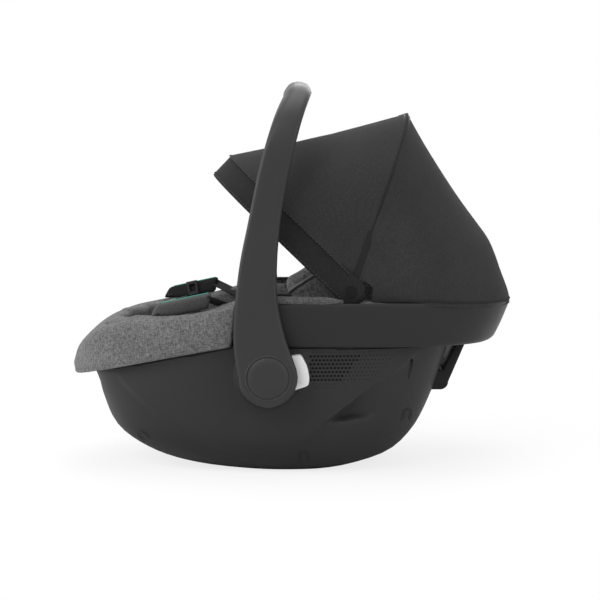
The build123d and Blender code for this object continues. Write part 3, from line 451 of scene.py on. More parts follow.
def dress(obj, look, sharp=40.0):
    """Links an object, smooths it and gives it its material."""
    if obj.name not in bpy.context.scene.collection.objects:
        bpy.context.scene.collection.objects.link(obj)
    obj.data.materials.clear()
    obj.data.materials.append(MATERIALS[look])
    obj.data.polygons.foreach_set("use_smooth", [True] * len(obj.data.polygons))
    obj.data.set_sharp_from_angle(angle=math.radians(sharp))
    return obj


def set_on(obj, body, *stands_for):
    """Puts a piece on its body, in place of CAD nodes."""
    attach(obj, body)
    if stands_for:
        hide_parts(*stands_for)
    return obj


def pad_on(obj, body, fill, *stands_for):
    """Puts a padded piece on its body, in place of CAD nodes."""
    set_on(obj, body, *stands_for)


def smoother(obj, look):
    """Subdivides a soft piece and dresses it again."""
    add = obj.modifiers.new("smooth", "SUBSURF")
    add.levels = add.render_levels = 1
    return dress(applied(obj), look, 180.0)


def applied(obj):
    """Turns a piece's modifiers into its mesh."""
    graph = bpy.context.evaluated_depsgraph_get()
    mesh = bpy.data.meshes.new_from_object(obj.evaluated_get(graph))
    obj.modifiers.clear()
    obj.data = mesh
    return obj


def mirrored(obj, name):
    """The same piece on the other side."""
    other = obj.copy()
    other.data = obj.data.copy()
    other.name = name
    other.data.name = name
    other.data.transform(Matrix.Scale(-1, 4, (0, 1, 0)))
    other.data.flip_normals()
    bpy.context.scene.collection.objects.link(other)
    return other


STITCH_LENGTH, STITCH_GAP, STITCH_WIDTH = 3.2, 2.2, 0.55


def stitches(name, line, normals, look, lift):
    """A row of sewn stitches along a line that lies on a surface."""
    line = np.asarray(line, float)
    normals = np.asarray(normals, float)
    total = np.linalg.norm(np.diff(line, axis=0), axis=1).sum()
    count = max(2, int(total / (STITCH_LENGTH + STITCH_GAP)))
    spots = evenly(np.hstack([line, normals]), count * 2 + 1)
    shapes = []
    for a, b in zip(spots[:-1:2], spots[1::2]):
        along = b[:3] - a[:3]
        if np.linalg.norm(along) < 1e-6:
            continue
        along /= np.linalg.norm(along)
        up = a[3:] / np.linalg.norm(a[3:])
        side = np.cross(along, up)
        middle = (a[:3] + b[:3]) / 2 + up * lift
        shapes.append(grid([
            [
                middle + along * end * STITCH_LENGTH
                + (side * math.cos(turn) + up * math.sin(turn)) * STITCH_WIDTH * size
                for turn in math.tau * np.arange(6) / 6
            ]
            for end, size in ((-0.5, 0.35), (-0.3, 1.0), (0.3, 1.0), (0.5, 0.35))
        ], around=True, caps=True))
    return make(name, joined(shapes), look, sharp=60)


def tube(line, radius, sides):
    """Round tube along a line."""
    line = np.asarray(line, float)
    tangent = np.gradient(line, axis=0)
    tangent /= np.linalg.norm(tangent, axis=1)[:, None]
    up = np.array([0.0, 0.0, 1.0])
    rows = []
    for p, t in zip(line, tangent):
        side = np.cross(t, up)
        if np.linalg.norm(side) < 1e-3:
            side = np.cross(t, np.array([0.0, 1.0, 0.0]))
        side /= np.linalg.norm(side)
        top = np.cross(side, t)
        rows.append([
            p + radius * (math.cos(a) * side + math.sin(a) * top)
            for a in np.linspace(0, math.tau, sides, endpoint=False)
        ])
    return grid(rows, around=True, caps=True)


def lathe(profile, centre, side, count=72):
    """Solid of revolution about an axis across the seat, from (radius, y) points."""
    rows = [
        [
            (centre[0] + r * math.cos(a), side * y, centre[1] + r * math.sin(a))
            for a in np.linspace(0, math.tau, count, endpoint=False)
        ]
        for r, y in profile
    ]
    return grid(rows, around=True, caps=True)


def softened(node, radius, look, body):
    """A CAD node with its sharp edges rounded, standing for the node."""
    mesh = nodes[node].data.copy()
    work = bmesh.new()
    work.from_mesh(mesh)
    bmesh.ops.remove_doubles(work, verts=work.verts, dist=1e-6)
    bmesh.ops.dissolve_limit(
        work, angle_limit=math.radians(0.6), verts=work.verts, edges=work.edges, delimit=set()
    )
    sharp = [e for e in work.edges if len(e.link_faces) == 2 and e.calc_face_angle(0) > math.radians(32)]
    bmesh.ops.bevel(
        work, geom=sharp, offset=radius * MM, offset_type="OFFSET", segments=2, profile=0.5,
        affect="EDGES", clamp_overlap=True,
    )
    work.to_mesh(mesh)
    work.free()
    mesh.name = "soft_" + node
    obj = dress(bpy.data.objects.new("soft_" + node, mesh), look, 30.0)
    return set_on(obj, body, node)


SWELL_FRAMES = 20
VOXEL = 4.5


def puffed(node, look, cap, shrink):
    """A CAD soft solid swollen by cloth simulation under pressure."""
    mesh = nodes[node].data.copy()
    obj = dress(bpy.data.objects.new("puffed_" + node, mesh), look, 180.0)
    if "custom_normal" in mesh.attributes:
        mesh.attributes.remove(mesh.attributes["custom_normal"])
    work = bmesh.new()
    work.from_mesh(mesh)
    bmesh.ops.remove_doubles(work, verts=work.verts, dist=1e-6)
    work.to_mesh(mesh)
    work.free()
    remesh = obj.modifiers.new("even", "REMESH")
    remesh.mode = "VOXEL"
    remesh.voxel_size = VOXEL * MM
    ease = obj.modifiers.new("ease", "SMOOTH")
    ease.iterations = 4
    applied(obj)
    rest = np.array([v.co for v in obj.data.vertices])
    normal = np.array([v.normal for v in obj.data.vertices])
    start = rest - normal * shrink * MM
    obj.data.vertices.foreach_set("co", start.astype(np.float32).ravel())
    obj.data.update()
    cloth = obj.modifiers.new("cloth", "CLOTH")
    cloth.settings.use_pressure = True
    cloth.settings.uniform_pressure_force = 4.0
    cloth.settings.quality = 4
    cloth.settings.effector_weights.gravity = 0.0
    cloth.settings.tension_stiffness = 12.0
    cloth.point_cache.frame_start = 1
    cloth.point_cache.frame_end = SWELL_FRAMES
    for step in range(1, SWELL_FRAMES + 1):
        bpy.context.scene.frame_set(step)
    applied(obj)
    bpy.context.scene.frame_set(1)
    swollen = np.array([v.co for v in obj.data.vertices])
    moved = swollen - start
    far = np.linalg.norm(moved, axis=1)[:, None]
    limit = cap * MM
    moved *= np.minimum(1.0, limit / np.maximum(far, 1e-9))
    obj.data.vertices.foreach_set("co", (start + moved).astype(np.float32).ravel())
    obj.data.update()
    ease = obj.modifiers.new("ease", "SMOOTH")
    ease.iterations = 3
    return smoother(obj, look)


# Camera, light and floor
CENTRE = Vector((12.4, 0.0, 243.6)) * MM
ELEVATION, AZIMUTH, DISTANCE = math.radians(5.0), math.radians(-0.8), 2.7
camera = bpy.data.objects.new("camera", bpy.data.cameras.new("camera"))
bpy.context.scene.collection.objects.link(camera)
back = Vector((
    math.sin(AZIMUTH) * math.cos(ELEVATION), -math.cos(AZIMUTH) * math.cos(ELEVATION), math.sin(ELEVATION),
))
camera.location = CENTRE + back * DISTANCE
camera.rotation_mode = "QUATERNION"
camera.rotation_quaternion = (-back).to_track_quat("-Z", "Y")
camera.data.sensor_width = 36.0
camera.data.lens = 104.5
camera.data.clip_start, camera.data.clip_end = 0.05, 60.0
bpy.context.scene.camera = camera
bpy.context.scene.view_settings.view_transform = "Standard"

LAMPS = (
    ("key_light", (-1.3, -1.9, 2.1), 0.25, 1.6, 30), ("side_light", (-2.2, -0.5, 1.0), 0.25, 1.2, 20),
    ("fill_light", (1.9, -1.7, 1.3), 0.25, 1.6, 16), ("top_light", (0.1, 0.3, 2.6), 0.2, 1.8, 26),
    ("back_light", (0.6, 2.2, 1.5), 0.3, 1.6, 18),
)
for name, place, aim_z, size, power in LAMPS:
    data = bpy.data.lights.new(name, "AREA")
    data.size = size
    data.energy = power
    lamp = bpy.data.objects.new(name, data)
    bpy.context.scene.collection.objects.link(lamp)
    lamp.location = place
    lamp.rotation_mode = "QUATERNION"
    lamp.rotation_quaternion = (Vector((0, 0, aim_z)) - Vector(place)).to_track_quat("-Z", "Y")

world = bpy.data.worlds.new("studio")
bpy.context.scene.world = world
world.use_nodes = True
sky = world.node_tree
sky.nodes.clear()
rays = put(sky, "ShaderNodeLightPath")
seen = maths(sky, "MAXIMUM", rays.outputs["Is Camera Ray"],
             maths(sky, "MAXIMUM", rays.outputs["Is Glossy Ray"], rays.outputs["Is Transmission Ray"]))
strength = spread_to(sky, seen, 0.0, 1.0, 0.55, 1.0)
glow = put(sky, "ShaderNodeBackground", {0: (1.0, 1.0, 1.0, 1.0), 1: strength})
put(sky, "ShaderNodeOutputWorld", {0: glow.outputs[0]})

floor_mesh = bpy.data.meshes.new("floor")
floor_mesh.from_pydata([(-9, -5, 0), (9, -5, 0), (9, 13, 0), (-9, 13, 0)], [], [(0, 1, 2, 3)])
floor = bpy.data.objects.new("floor", floor_mesh)
bpy.context.scene.collection.objects.link(floor)
floor_look = bpy.data.materials.new("floor")
floor_look.use_nodes = True
ground = floor_look.node_tree
ground.nodes.clear()
path = put(ground, "ShaderNodeLightPath")
white = put(ground, "ShaderNodeEmission", {0: (1.0, 1.0, 1.0, 1.0), 1: 1.0})
matt = put(ground, "ShaderNodeBsdfDiffuse", {0: (0.86, 0.86, 0.86, 1.0)})
spot = put(ground, "ShaderNodeTexCoord").outputs["Object"]
away = put(ground, "ShaderNodeVectorMath", {0: spot}, operation="LENGTH").outputs["Value"]
whiter = spread_to(ground, away, 0.35, 0.95, 0.8, 1.0)
share = maths(ground, "MULTIPLY", path.outputs["Is Camera Ray"], whiter)
mixed_floor = put(ground, "ShaderNodeMixShader", {0: share, 1: matt.outputs[0], 2: white.outputs[0]})
put(ground, "ShaderNodeOutputMaterial", {0: mixed_floor.outputs[0]})
floor_mesh.materials.append(floor_look)
floor.location.z = -0.0005

# Shell
AROUND = 200
CREASE = [
    (-310, 190), (-258, 146), (-227, 116), (-195, 91), (-158, 68), (-125, 51), (-92, 43), (-47, 43),
    (11, 51), (47, 80), (96, 118), (174, 174), (215, 204),
]
crease_line = line_through(CREASE, 200)
SHELL_WALL = 4.0


def crease_at(x):
    """Height of the hull's crease at x."""
    return np.interp(x, crease_line[:, 0], crease_line[:, 1])


FACET_X, FACET_LOW_Z = 45.0, 79.0
FACET_SLOPE, FACET_END_X = 0.1, 138.0
FACET_LEDGE, FACET_SPANS = 4.0, (4.0, 70.0)
LEAST_ABOVE_CREASE, LEAST_BELOW_FACET = 8.0, 10.0
GAP_HEIGHT, GAP_DEPTH = 3.0, 3.0


def facet_span(x):
    """How far the dark facet reaches down from the crease."""
    return np.clip(crease_at(x) - FACET_LOW_Z - FACET_SLOPE * (x - FACET_X), *FACET_SPANS)


def shell_surface():
    """Rows of the shell's outside, with one along its crease and one along the facet's foot."""
    dense = through([egg_ring(level, AROUND) for level in SHELL_LEVELS], 30)
    rows, from_crease = [], []
    for j in range(AROUND):
        column = dense[:, j]
        along = np.concatenate([[0], np.cumsum(np.linalg.norm(np.diff(column, axis=0), axis=1))])
        top = along[int(np.argmax(column[:, 2] > edge_at(RIM_LOW_EDGE, column[:, 0]) - 0.3))]
        over = np.nonzero(column[:, 2] > crease_at(column[:, 0]))[0]
        bend = min(along[over[0]] if len(over) else top, top - LEAST_ABOVE_CREASE)
        span = float(facet_span(np.interp(bend, along, column[:, 0])))
        foot = max(bend - span, LEAST_BELOW_FACET)
        t = np.concatenate([
            np.linspace(0, foot - FACET_LEDGE, 14), [foot - FACET_LEDGE / 2],
            foot + (bend - foot) * np.linspace(0, 1, 12, endpoint=False),
            np.linspace(bend, top - GAP_HEIGHT - 0.4, 16), [top - GAP_HEIGHT, top],
        ])
        rows.append(np.column_stack([np.interp(t, along, column[:, k]) for k in range(3)]))
        from_crease.append(t - bend)
    return np.swapaxes(np.array(rows), 0, 1), np.array(from_crease).T


def face_directions(rows):
    """Directions square to rows that close round, pointing out."""
    across = np.roll(rows, -1, 1) - np.roll(rows, 1, 1)
    normal = np.cross(across, np.gradient(rows, axis=0))
    normal /= np.maximum(np.linalg.norm(normal, axis=2)[..., None], 1e-9)
    level = np.stack([across[..., 1], -across[..., 0], np.zeros(across.shape[:2])], -1)
    return normal * np.where((normal * level).sum(2) < 0, -1.0, 1.0)[..., None]


RIDGE = 3.6
RIDGE_END_X = 215.0
FACET_STEEPNESS, FACET_DEPTH, FACET_CURVE = 0.42, 14.0, 0.7
RIDGE_ABOVE, RIDGE_BELOW, RIDGE_FADE = 60, 16, 50
FACET_START_FADE, FACET_END_FADE = 6, 60
shell_rows, from_crease = shell_surface()
outward = face_directions(shell_rows)
crease_row = int(np.argmin(np.abs(from_crease[:, 0])))
crease_x = shell_rows[crease_row][:, 0]
ridge = np.clip(1 - from_crease / np.where(from_crease >= 0, RIDGE_ABOVE, -RIDGE_BELOW), 0, 1)
ridge *= np.clip((RIDGE_END_X - crease_x) / RIDGE_FADE, 0, 1)
span = facet_span(crease_x)
share = -from_crease / span
ledge = np.clip(1 - (share - 1) * span / FACET_LEDGE, 0, 1)
facet = np.where(share <= 1, np.clip(share, 0, 1) ** FACET_CURVE, ledge)
facet_fade = np.clip((crease_x - FACET_X) / FACET_START_FADE, 0, 1)
facet_fade *= np.clip((FACET_END_X - crease_x) / FACET_END_FADE, 0, 1)
facet *= np.minimum(FACET_STEEPNESS * span, FACET_DEPTH) * facet_fade
shell_rows = shell_rows + outward * (RIDGE * ridge - facet)[..., None]
shell_rows[-2:] -= outward[-2:] * GAP_DEPTH
shell = loft("shell_body", shell_rows, "shell", 22)
inner_rows = shell_rows - outward * SHELL_WALL
inner_rows[..., 2] = np.maximum(inner_rows[..., 2], SHELL_WALL)
inner_rows = np.concatenate([inner_rows, inner_rows[-1:] + np.array([0, 0, 30.0])])


def cutter(name, shapes, look="shell"):
    """Several closed shapes as one tool to cut with."""
    obj = make(name, joined(shapes), look)
    obj.hide_render = True
    return obj


def cut(obj, tool):
    """Takes a tool's shape out of a piece, with the tool's look on the cut."""
    bite = obj.modifiers.new("cut", "BOOLEAN")
    bite.operation = "DIFFERENCE"
    bite.material_mode = "TRANSFER"
    bite.solver = "EXACT"
    bite.object = tool
    applied(obj)
    bpy.data.objects.remove(tool)


VENT_SIDES, VENT_PROUD = 10, 4


def vent(x, z, side, depth, radius):
    """Short rod that drills one hole in the shell's side."""
    wall = wall_y(x, z, side)
    profile = ((radius, wall + VENT_PROUD), (radius, wall - depth))
    return lathe(profile, (x, z), side, VENT_SIDES)


RECESS_X, RECESS_HALF_Y, RECESS_Z = (-125, 105), 75, (-20, 22)
RECESS_WALL = 4


def recess(name, wall=0):
    """The recess in the underside with a wall round it, as a tool."""
    points = [
        (x, y, z)
        for x in (RECESS_X[0] - wall, RECESS_X[1] + wall)
        for y in (-RECESS_HALF_Y - wall, RECESS_HALF_Y + wall)
        for z in (RECESS_Z[0], RECESS_Z[1] + wall)
    ]
    faces = [(0, 1, 3, 2), (4, 6, 7, 5), (0, 4, 5, 1), (2, 3, 7, 6), (0, 2, 6, 4), (1, 5, 7, 3)]
    return cutter(name, [(np.array(points, float), faces)])


wall_tree = BVHTree.FromObject(shell, bpy.context.evaluated_depsgraph_get())
SIDE_Y, PAST_SIDE_Y = 178.0, 400


def wall_y(x, z, side):
    """Where the shell's side is, at a point seen from the side."""
    hit = wall_tree.ray_cast(Vector((x, side * PAST_SIDE_Y, z)) * MM, Vector((0, -side, 0)))
    return abs(hit[0].y) / MM if hit[0] else SIDE_Y


VENT_PITCH, VENT_RADIUS = 5.4, 1.9
VENT_FROM_X, VENT_FADE = 25.5, 50.0
VENT_DEPTH, SHALLOW_DEPTH, FAINT_DEPTH = 3.2, 1.0, 0.8
SHALLOW_RADIUS, SHALLOW_SHRINK, FAINT_RADIUS = 1.4, 0.75, 0.85
VENT_ROWS = [
    (177, 101), (171.2, 96.5), (165.4, 89.5), (159.6, 87.5), (153.8, 82), (148, 75), (142.2, 69),
]
FAINT_ROWS = [(182.6, 128), (136.4, 74), (130.8, 66)]
SLIT = [(173.2, 169), (177.4, 167.5), (176.4, 155), (170.6, 138), (169.6, 139.5), (171.6, 155)]
vents = []
for side in (-1, 1):
    for row, (z, to_x) in enumerate(VENT_ROWS):
        first_x = VENT_FROM_X + (VENT_PITCH / 2 if row % 2 else 0)
        for x in np.arange(first_x, to_x + VENT_FADE, VENT_PITCH):
            fade = max(0.0, (x - to_x) / VENT_FADE)
            if fade == 0:
                vents.append(vent(x, z, side, VENT_DEPTH, VENT_RADIUS))
            else:
                vents.append(vent(x, z, side, SHALLOW_DEPTH, SHALLOW_RADIUS - SHALLOW_SHRINK * fade))
    for z, to_x in FAINT_ROWS:
        for x in np.arange(VENT_FROM_X + VENT_PITCH / 2, to_x, VENT_PITCH):
            vents.append(vent(x, z, side, FAINT_DEPTH, FAINT_RADIUS))
    slit_y = wall_y(SLIT[1][0], SLIT[1][1], side)
    vents.append(prism(SLIT, side, (slit_y + 8, slit_y - 4)))

KEY_GAP, KEY_POCKET_Y = 0.3, (155, 205)
button_outline = evenly([
    (27, 26), (28.4, 28), (30, 28.8), (44.5, 30.6), (47, 30), (48.8, 28.2), (52.6, 22), (56, 14.5),
    (58.3, 7), (59.4, 0), (59.5, -6), (58.9, -10.5), (57.8, -13), (55.4, -14.8), (36, -21.3), (33.6, -21),
    (32.8, -19), (35.6, -9), (36.5, 0), (35.4, 9), (32.5, 17.5), (27, 26),
], 97)[:-1]
button_core = np.array([45.0, 4.0])


def key_pocket(side):
    """Room for a release key in the shell's side, as a tool."""
    away = button_outline - button_core
    wider = button_outline + away / np.linalg.norm(away, axis=1)[:, None] * KEY_GAP
    return cutter("key_pocket", [prism(wider + np.array(PIVOT), side, KEY_POCKET_Y)])


room = cutter("shell_room", [grid(inner_rows, around=True, caps=True)])
cut(room, recess("recess_walls", RECESS_WALL))
cut(shell, room)
# The vent holes and the slit get the near-black look on their walls: painted shade inside the holes.
cut(shell, cutter("vent_tool", vents, "dark"))
cut(shell, recess("recess_tool"))
for side in (-1, 1):
    cut(shell, key_pocket(side))
dress(shell, "shell", 24)
# Second slot: the painted shade on the vent walls.
shell.data.materials.append(MATERIALS["dark"])
set_on(shell, "shell", "outer_shell")

# Collars under the hubs, and black lines low on the shell that paint the shade in the clip grooves
COLLAR_PROFILE = (
    (20, 160), (52, 166), (51, 175), (48.5, 178), (46.6, 181), (46, 185.6), (44.6, 187), (38, 187),
    (36, 187.6), (34, 189), (33.6, 198.7), (20, 198.7),
)
CLIP_RINGS, CLIP_GROOVE = ((7.4, 10.0), (4.4, 7.0)), 0.65
CLIP_MARKS = ((-223, 50, 40), (16, 25, 0), (170, 82, -10))
arch_turns = np.linspace(math.pi, 0, 9)
for side, label in SIDES:
    collar = make("hub_collar_" + label, lathe(COLLAR_PROFILE, PIVOT, side), "shell", sharp=30)
    cut(collar, key_pocket(side))
    set_on(dress(collar, "shell", 30), "shell")
    for mark, (x, z, turn) in enumerate(CLIP_MARKS):
        c, s = math.cos(math.radians(turn)), math.sin(math.radians(turn))
        for wide, tall in CLIP_RINGS:
            flat = [(-wide, -tall)] + [(wide * math.cos(a), 3 + wide * math.sin(a)) for a in arch_turns]
            flat = evenly(np.array(flat + [(wide, -tall)]), 30)
            line = []
            for px, pz in flat:
                mark_x, mark_z = x + c * px - s * pz, z + s * px + c * pz
                line.append((mark_x, side * (wall_y(mark_x, mark_z, side) - 0.1), mark_z))
            name = f"clip_mark_{label}_{mark}_{int(tall)}"
            # Thin black tubes along the wall: painted shade of the clip grooves.
            set_on(make(name, tube(line, CLIP_GROOVE, 6), "black", sharp=60), "shell")

# Rim at the head end
RIM_AROUND, RIM_MIDDLE_Z, FOOT_MIDDLE_Z = 360, 210, 190
RIM_TURN, RIM_TURN_GROWTH, RIM_TURN_FROM_X, RIM_TURN_SPAN = 3.0, 6.5, 190, 110
rim_low = egg_ring(RIM_LEVELS[0], RIM_AROUND)
rim_top = egg_ring(RIM_LEVELS[1], RIM_AROUND)


def rim_point(j, z, inset=0.0):
    """Point of the flared rim at a height, moved inwards."""
    share = (z - RIM_LEVELS[0][0]) / (RIM_LEVELS[1][0] - RIM_LEVELS[0][0])
    before, point, after = (
        rim_low[k % RIM_AROUND] * (1 - share) + rim_top[k % RIM_AROUND] * share for k in (j - 1, j, j + 1)
    )
    run = after - before
    normal = np.array([run[1], -run[0], 0.0])
    normal /= np.linalg.norm(normal)
    return np.array([point[0], point[1], z]) - normal * inset


rim_middle_x = np.array([rim_point(j, RIM_MIDDLE_Z)[0] for j in range(RIM_AROUND)])
head_columns = [
    j for j in range(-RIM_AROUND // 2, RIM_AROUND // 2) if rim_middle_x[j % RIM_AROUND] > RIM_JOIN_X
]


def rim_section(j):
    """Closed outline of the head rim where a column cuts it."""
    x = rim_middle_x[j % RIM_AROUND]
    low, high = float(edge_at(RIM_LOW_EDGE, x)), float(high_at(x))
    turn = RIM_TURN + RIM_TURN_GROWTH * float(np.clip((x - RIM_TURN_FROM_X) / RIM_TURN_SPAN, 0, 1))
    bend = [
        (turn * (1 - math.sin(a)), low + turn * (1 - math.cos(a))) for a in np.linspace(0, math.pi / 2, 6)
    ]
    outline = [(28, low + 4), (28, low), (turn + 6, low), *bend, (-0.4, low + turn + 4)]
    outline += [
        (-1.0, low + 22), (-1.2, low + 34), (-0.8, high - 10), (-0.2, high - 3.4), (0.6, high - 1.2),
        (2.0, high - 0.1), (3.6, high), (5.0, high - 0.7), (5.8, high - 2.2), (6.0, high - 8),
        (max(6.0, turn), low + 14), (max(6.6, turn + 1), low + 8), (max(9, turn + 2), low + 4),
    ]
    return [rim_point(j, z, inset) for inset, z in outline]


rim_rows = [rim_section(j) for j in head_columns]
head_rim = loft("head_rim_band", rim_rows, "rim", 38)
set_on(head_rim, "shell", "head_rim")

# Fabric over the foot end
foot_columns = [j for j in range(RIM_AROUND) if rim_middle_x[j] < RIM_JOIN_X - 0.3]
FOOT_PAD, FOOT_PAD_GROWTH, FOOT_PAD_FROM_X, FOOT_PAD_SPAN = 25.0, 27.0, -230.0, 100.0


def foot_depth(x):
    """How far the padded cover reaches in from the rim, more at the foot."""
    return FOOT_PAD + FOOT_PAD_GROWTH * np.clip((FOOT_PAD_FROM_X - x) / FOOT_PAD_SPAN, 0, 1) ** 1.5


def foot_section(j):
    """Closed outline of the padded foot cover where a column cuts it."""
    x = float(rim_point(j, FOOT_MIDDLE_Z)[0])
    deep = foot_depth(x)

    def low_at(inset):
        return float(edge_at(RIM_LOW_EDGE, rim_point(j, FOOT_MIDDLE_Z, inset)[0]))

    def top_at(inset):
        return float(high_at(rim_point(j, FOOT_MIDDLE_Z, inset)[0]))

    low, high = low_at(0), top_at(0)
    tall = high - low
    crown = min(11.0, tall * 0.35)
    outline = [
        (3, low + 0.2), (0.6, low + 1.2), (-0.2, low + 4), (0.5, low + 7), (-0.6, low + tall * 0.28),
        (-1.4, low + tall * 0.45), (-1.2, low + tall * 0.62), (-0.2, high - crown * 0.9),
        (1.2, high - crown * 0.45),
    ]
    outline += [
        (inset, top_at(inset) + puff)
        for inset, puff in (
            (3.6, -1.4), (8, 0.3), (deep * 0.35, 1.5), (deep * 0.5, 2.0), (deep * 0.68, 1.5),
            (deep - 6, 0.2), (deep - 2.6, -1.6), (deep - 0.8, -4.5),
        )
    ]
    back_low = low_at(deep)
    outline += [
        (deep + 0.2, (top_at(deep) + back_low) / 2), (deep - 0.6, back_low + 6), (deep - 3, back_low + 1.2),
        (deep * 0.6, low_at(deep * 0.6) + 0.2),
    ]
    points = []
    for inset, z in outline:
        point = rim_point(j, z, inset)
        point += np.array([0, 0, 0.7]) * ripple(point, 0.02, 3.0) + 0.35 * ripple(point, 0.06, 7.0)
        points.append(point)
    return points


foot_rows = np.array([foot_section(j) for j in foot_columns])
foot_cover = loft("foot_cover_cloth", foot_rows, "melange", 180)
smoother(foot_cover, "melange")
pad_on(foot_cover, "shell", 0.4, "foot_cover")


def outward_of(line):
    """Directions square to a line seen from above, away from the middle."""
    run = np.gradient(np.asarray(line), axis=0)
    normal = np.column_stack([run[:, 1], -run[:, 0], np.zeros(len(run))])
    middle = np.array([WIDEST_X, 0.0, 0.0])
    flip = np.sign(((line - middle) * normal).sum(1))[:, None]
    return normal * flip / np.maximum(np.linalg.norm(normal, axis=1)[:, None], 1e-9)


hem_line = foot_rows[:, 3]
set_on(stitches("foot_hem_stitches", hem_line, outward_of(hem_line), "stitch", lift=0.3), "shell")

# Lining of the bucket
COVER_AROUND, COVER_UP = 180, 22
COVER_INSET, COVER_TOP_Z, COVER_BELOW_RIM = 6.8, 261, 7.0
COVER_FLOOR = (62.8, -176.5, 10.3, 94.3)
RIM_CLEARANCE, FOOT_CLEARANCE = 11.0, 2.0
RIM_TRY_Z, COVER_THICKNESS = 235, 3.0


def cover_rows():
    """Rows of the lining from its floor up to its edge."""
    rings = [egg_ring(level, COVER_AROUND, COVER_INSET) for level in [COVER_FLOOR, *BUCKET_LEVELS[1:]]]
    dense = []
    for low, high in zip(rings, rings[1:]):
        dense += [low + (high - low) * t for t in np.linspace(0, 1, 12, endpoint=False)]
    dense.append(rings[-1])
    dense = np.array(dense)
    rows = np.zeros((COVER_UP, COVER_AROUND, 3))
    for j in range(COVER_AROUND):
        column = dense[:, j]
        top = np.minimum(high_at(column[:, 0]) - COVER_BELOW_RIM, COVER_TOP_Z)
        last_one = int(np.argmax(column[:, 2] >= top)) or len(column) - 1
        rows[:, j] = evenly(column[: last_one + 1], COVER_UP)
    return rows


lining = cover_rows()
floor_centre = lining[0].mean(0)
floor_rows = [floor_centre + (lining[0] - floor_centre) * t for t in (0.02, 0.3, 0.6, 0.85)]
edge = lining[-1]
rim_reach = []
for j in range(COVER_AROUND):
    gaps = [np.linalg.norm(rim_point(k, RIM_TRY_Z)[:2] - edge[j][:2]) for k in range(0, RIM_AROUND, 3)]
    nearest = int(np.argmin(gaps)) * 3
    kept_clear = RIM_CLEARANCE
    if rim_middle_x[nearest] < RIM_JOIN_X:
        kept_clear = foot_depth(rim_middle_x[nearest]) + FOOT_CLEARANCE
    rim_reach.append((nearest, max(2.0, gaps[nearest // 3] - kept_clear)))
over_rows = []
for share, lift in ((0.15, 2.6), (0.4, 4.2), (0.7, 3.4), (0.92, 0.6), (1.0, -5.0), (1.0, -16.0)):
    row = []
    for j in range(COVER_AROUND):
        nearest, reach = rim_reach[j]
        run = rim_point(nearest, RIM_TRY_Z)[:2] - edge[j][:2]
        run = run / max(np.linalg.norm(run), 1e-6)
        row.append([*(edge[j][:2] + run * reach * share), edge[j][2] + lift])
    over_rows.append(row)
cover_grid = np.concatenate([np.array(floor_rows), lining, np.array(over_rows)])
for row in cover_grid[4:4 + COVER_UP]:
    for p in row:
        p += np.array([0.0, 0.0, 0.5]) * ripple(p, 0.03, 5.0)
cover = make("seat_cover_cloth", grid(cover_grid, around=True), "melange", sharp=180, closed=False)
thick = cover.modifiers.new("thick", "SOLIDIFY")
thick.thickness = COVER_THICKNESS * MM
thick.offset = 0.0
applied(cover)
smoother(cover, "melange")
pad_on(cover, "shell", 0.25, "seat_cover", "foam_liner")

# Rolled trim on the rim behind the handle
ROLL_FOOT_X, ROLL_HEAD_X, ROLL_RADIUS = -78, 72.0, 6.0
for side, label in SIDES:
    roll_line = line_through([
        (ROLL_FOOT_X, 0, 259.6), (-40, 0, 260.0), (0, 0, 259.2), (40, 0, 258.4), (ROLL_HEAD_X, 0, 257.6),
    ], 56)
    for p in roll_line:
        same_side = np.sign(rim_low[:, 1]) == side
        column = int(np.argmin(np.abs(rim_middle_x - p[0]) + np.where(same_side, 0.0, 1000.0)))
        p[1] = side * (abs(rim_point(column, 250)[1]) - 4.5)
    ends = np.minimum(roll_line[:, 0] - ROLL_FOOT_X, (ROLL_HEAD_X - roll_line[:, 0]) / 3)
    taper = np.clip(ends / 8, 0.2, 1) ** 0.5
    rows = []
    for k, p in enumerate(roll_line):
        uneven = 1 + 0.03 * math.sin(k * 0.9)
        rows.append([
            p + ROLL_RADIUS * taper[k] * np.array([0, math.cos(a), math.sin(a)]) * uneven
            for a in np.linspace(0, math.tau, 16, endpoint=False)
        ])
    roll = loft("rim_roll_cloth_" + label, rows, "roll", 180)
    pad_on(roll, "shell", 0.7, "rim_roll_" + label)

# Handle
foot_edge = line_through(HANDLE_FOOT_EDGE, 160)
head_edge = line_through(HANDLE_HEAD_EDGE, 160)


def handle_span(z):
    """Foot and head side of the handle at a height."""
    edge_x, edge_z = HANDLE_FOOT_EDGE[0]
    if z < edge_z:
        chord = math.sqrt(max(HUB_RADIUS**2 - (z - PIVOT[1]) ** 2, 0.0))
        share = float(np.clip((z - PIVOT[1]) / (edge_z - PIVOT[1]), 0, 1))
        left = PIVOT[0] - chord
        if z > PIVOT[1]:
            left = (PIVOT[0] - HUB_RADIUS) * (1 - share) + edge_x * share
        return left, PIVOT[0] + chord
    left = float(np.interp(z, foot_edge[:, 1], foot_edge[:, 0]))
    right = float(np.interp(z, head_edge[:, 1], head_edge[:, 0]))
    if z < PIVOT[1] + HUB_RADIUS:
        right = max(right, PIVOT[0] + math.sqrt(HUB_RADIUS**2 - (z - PIVOT[1]) ** 2))
    return left, right


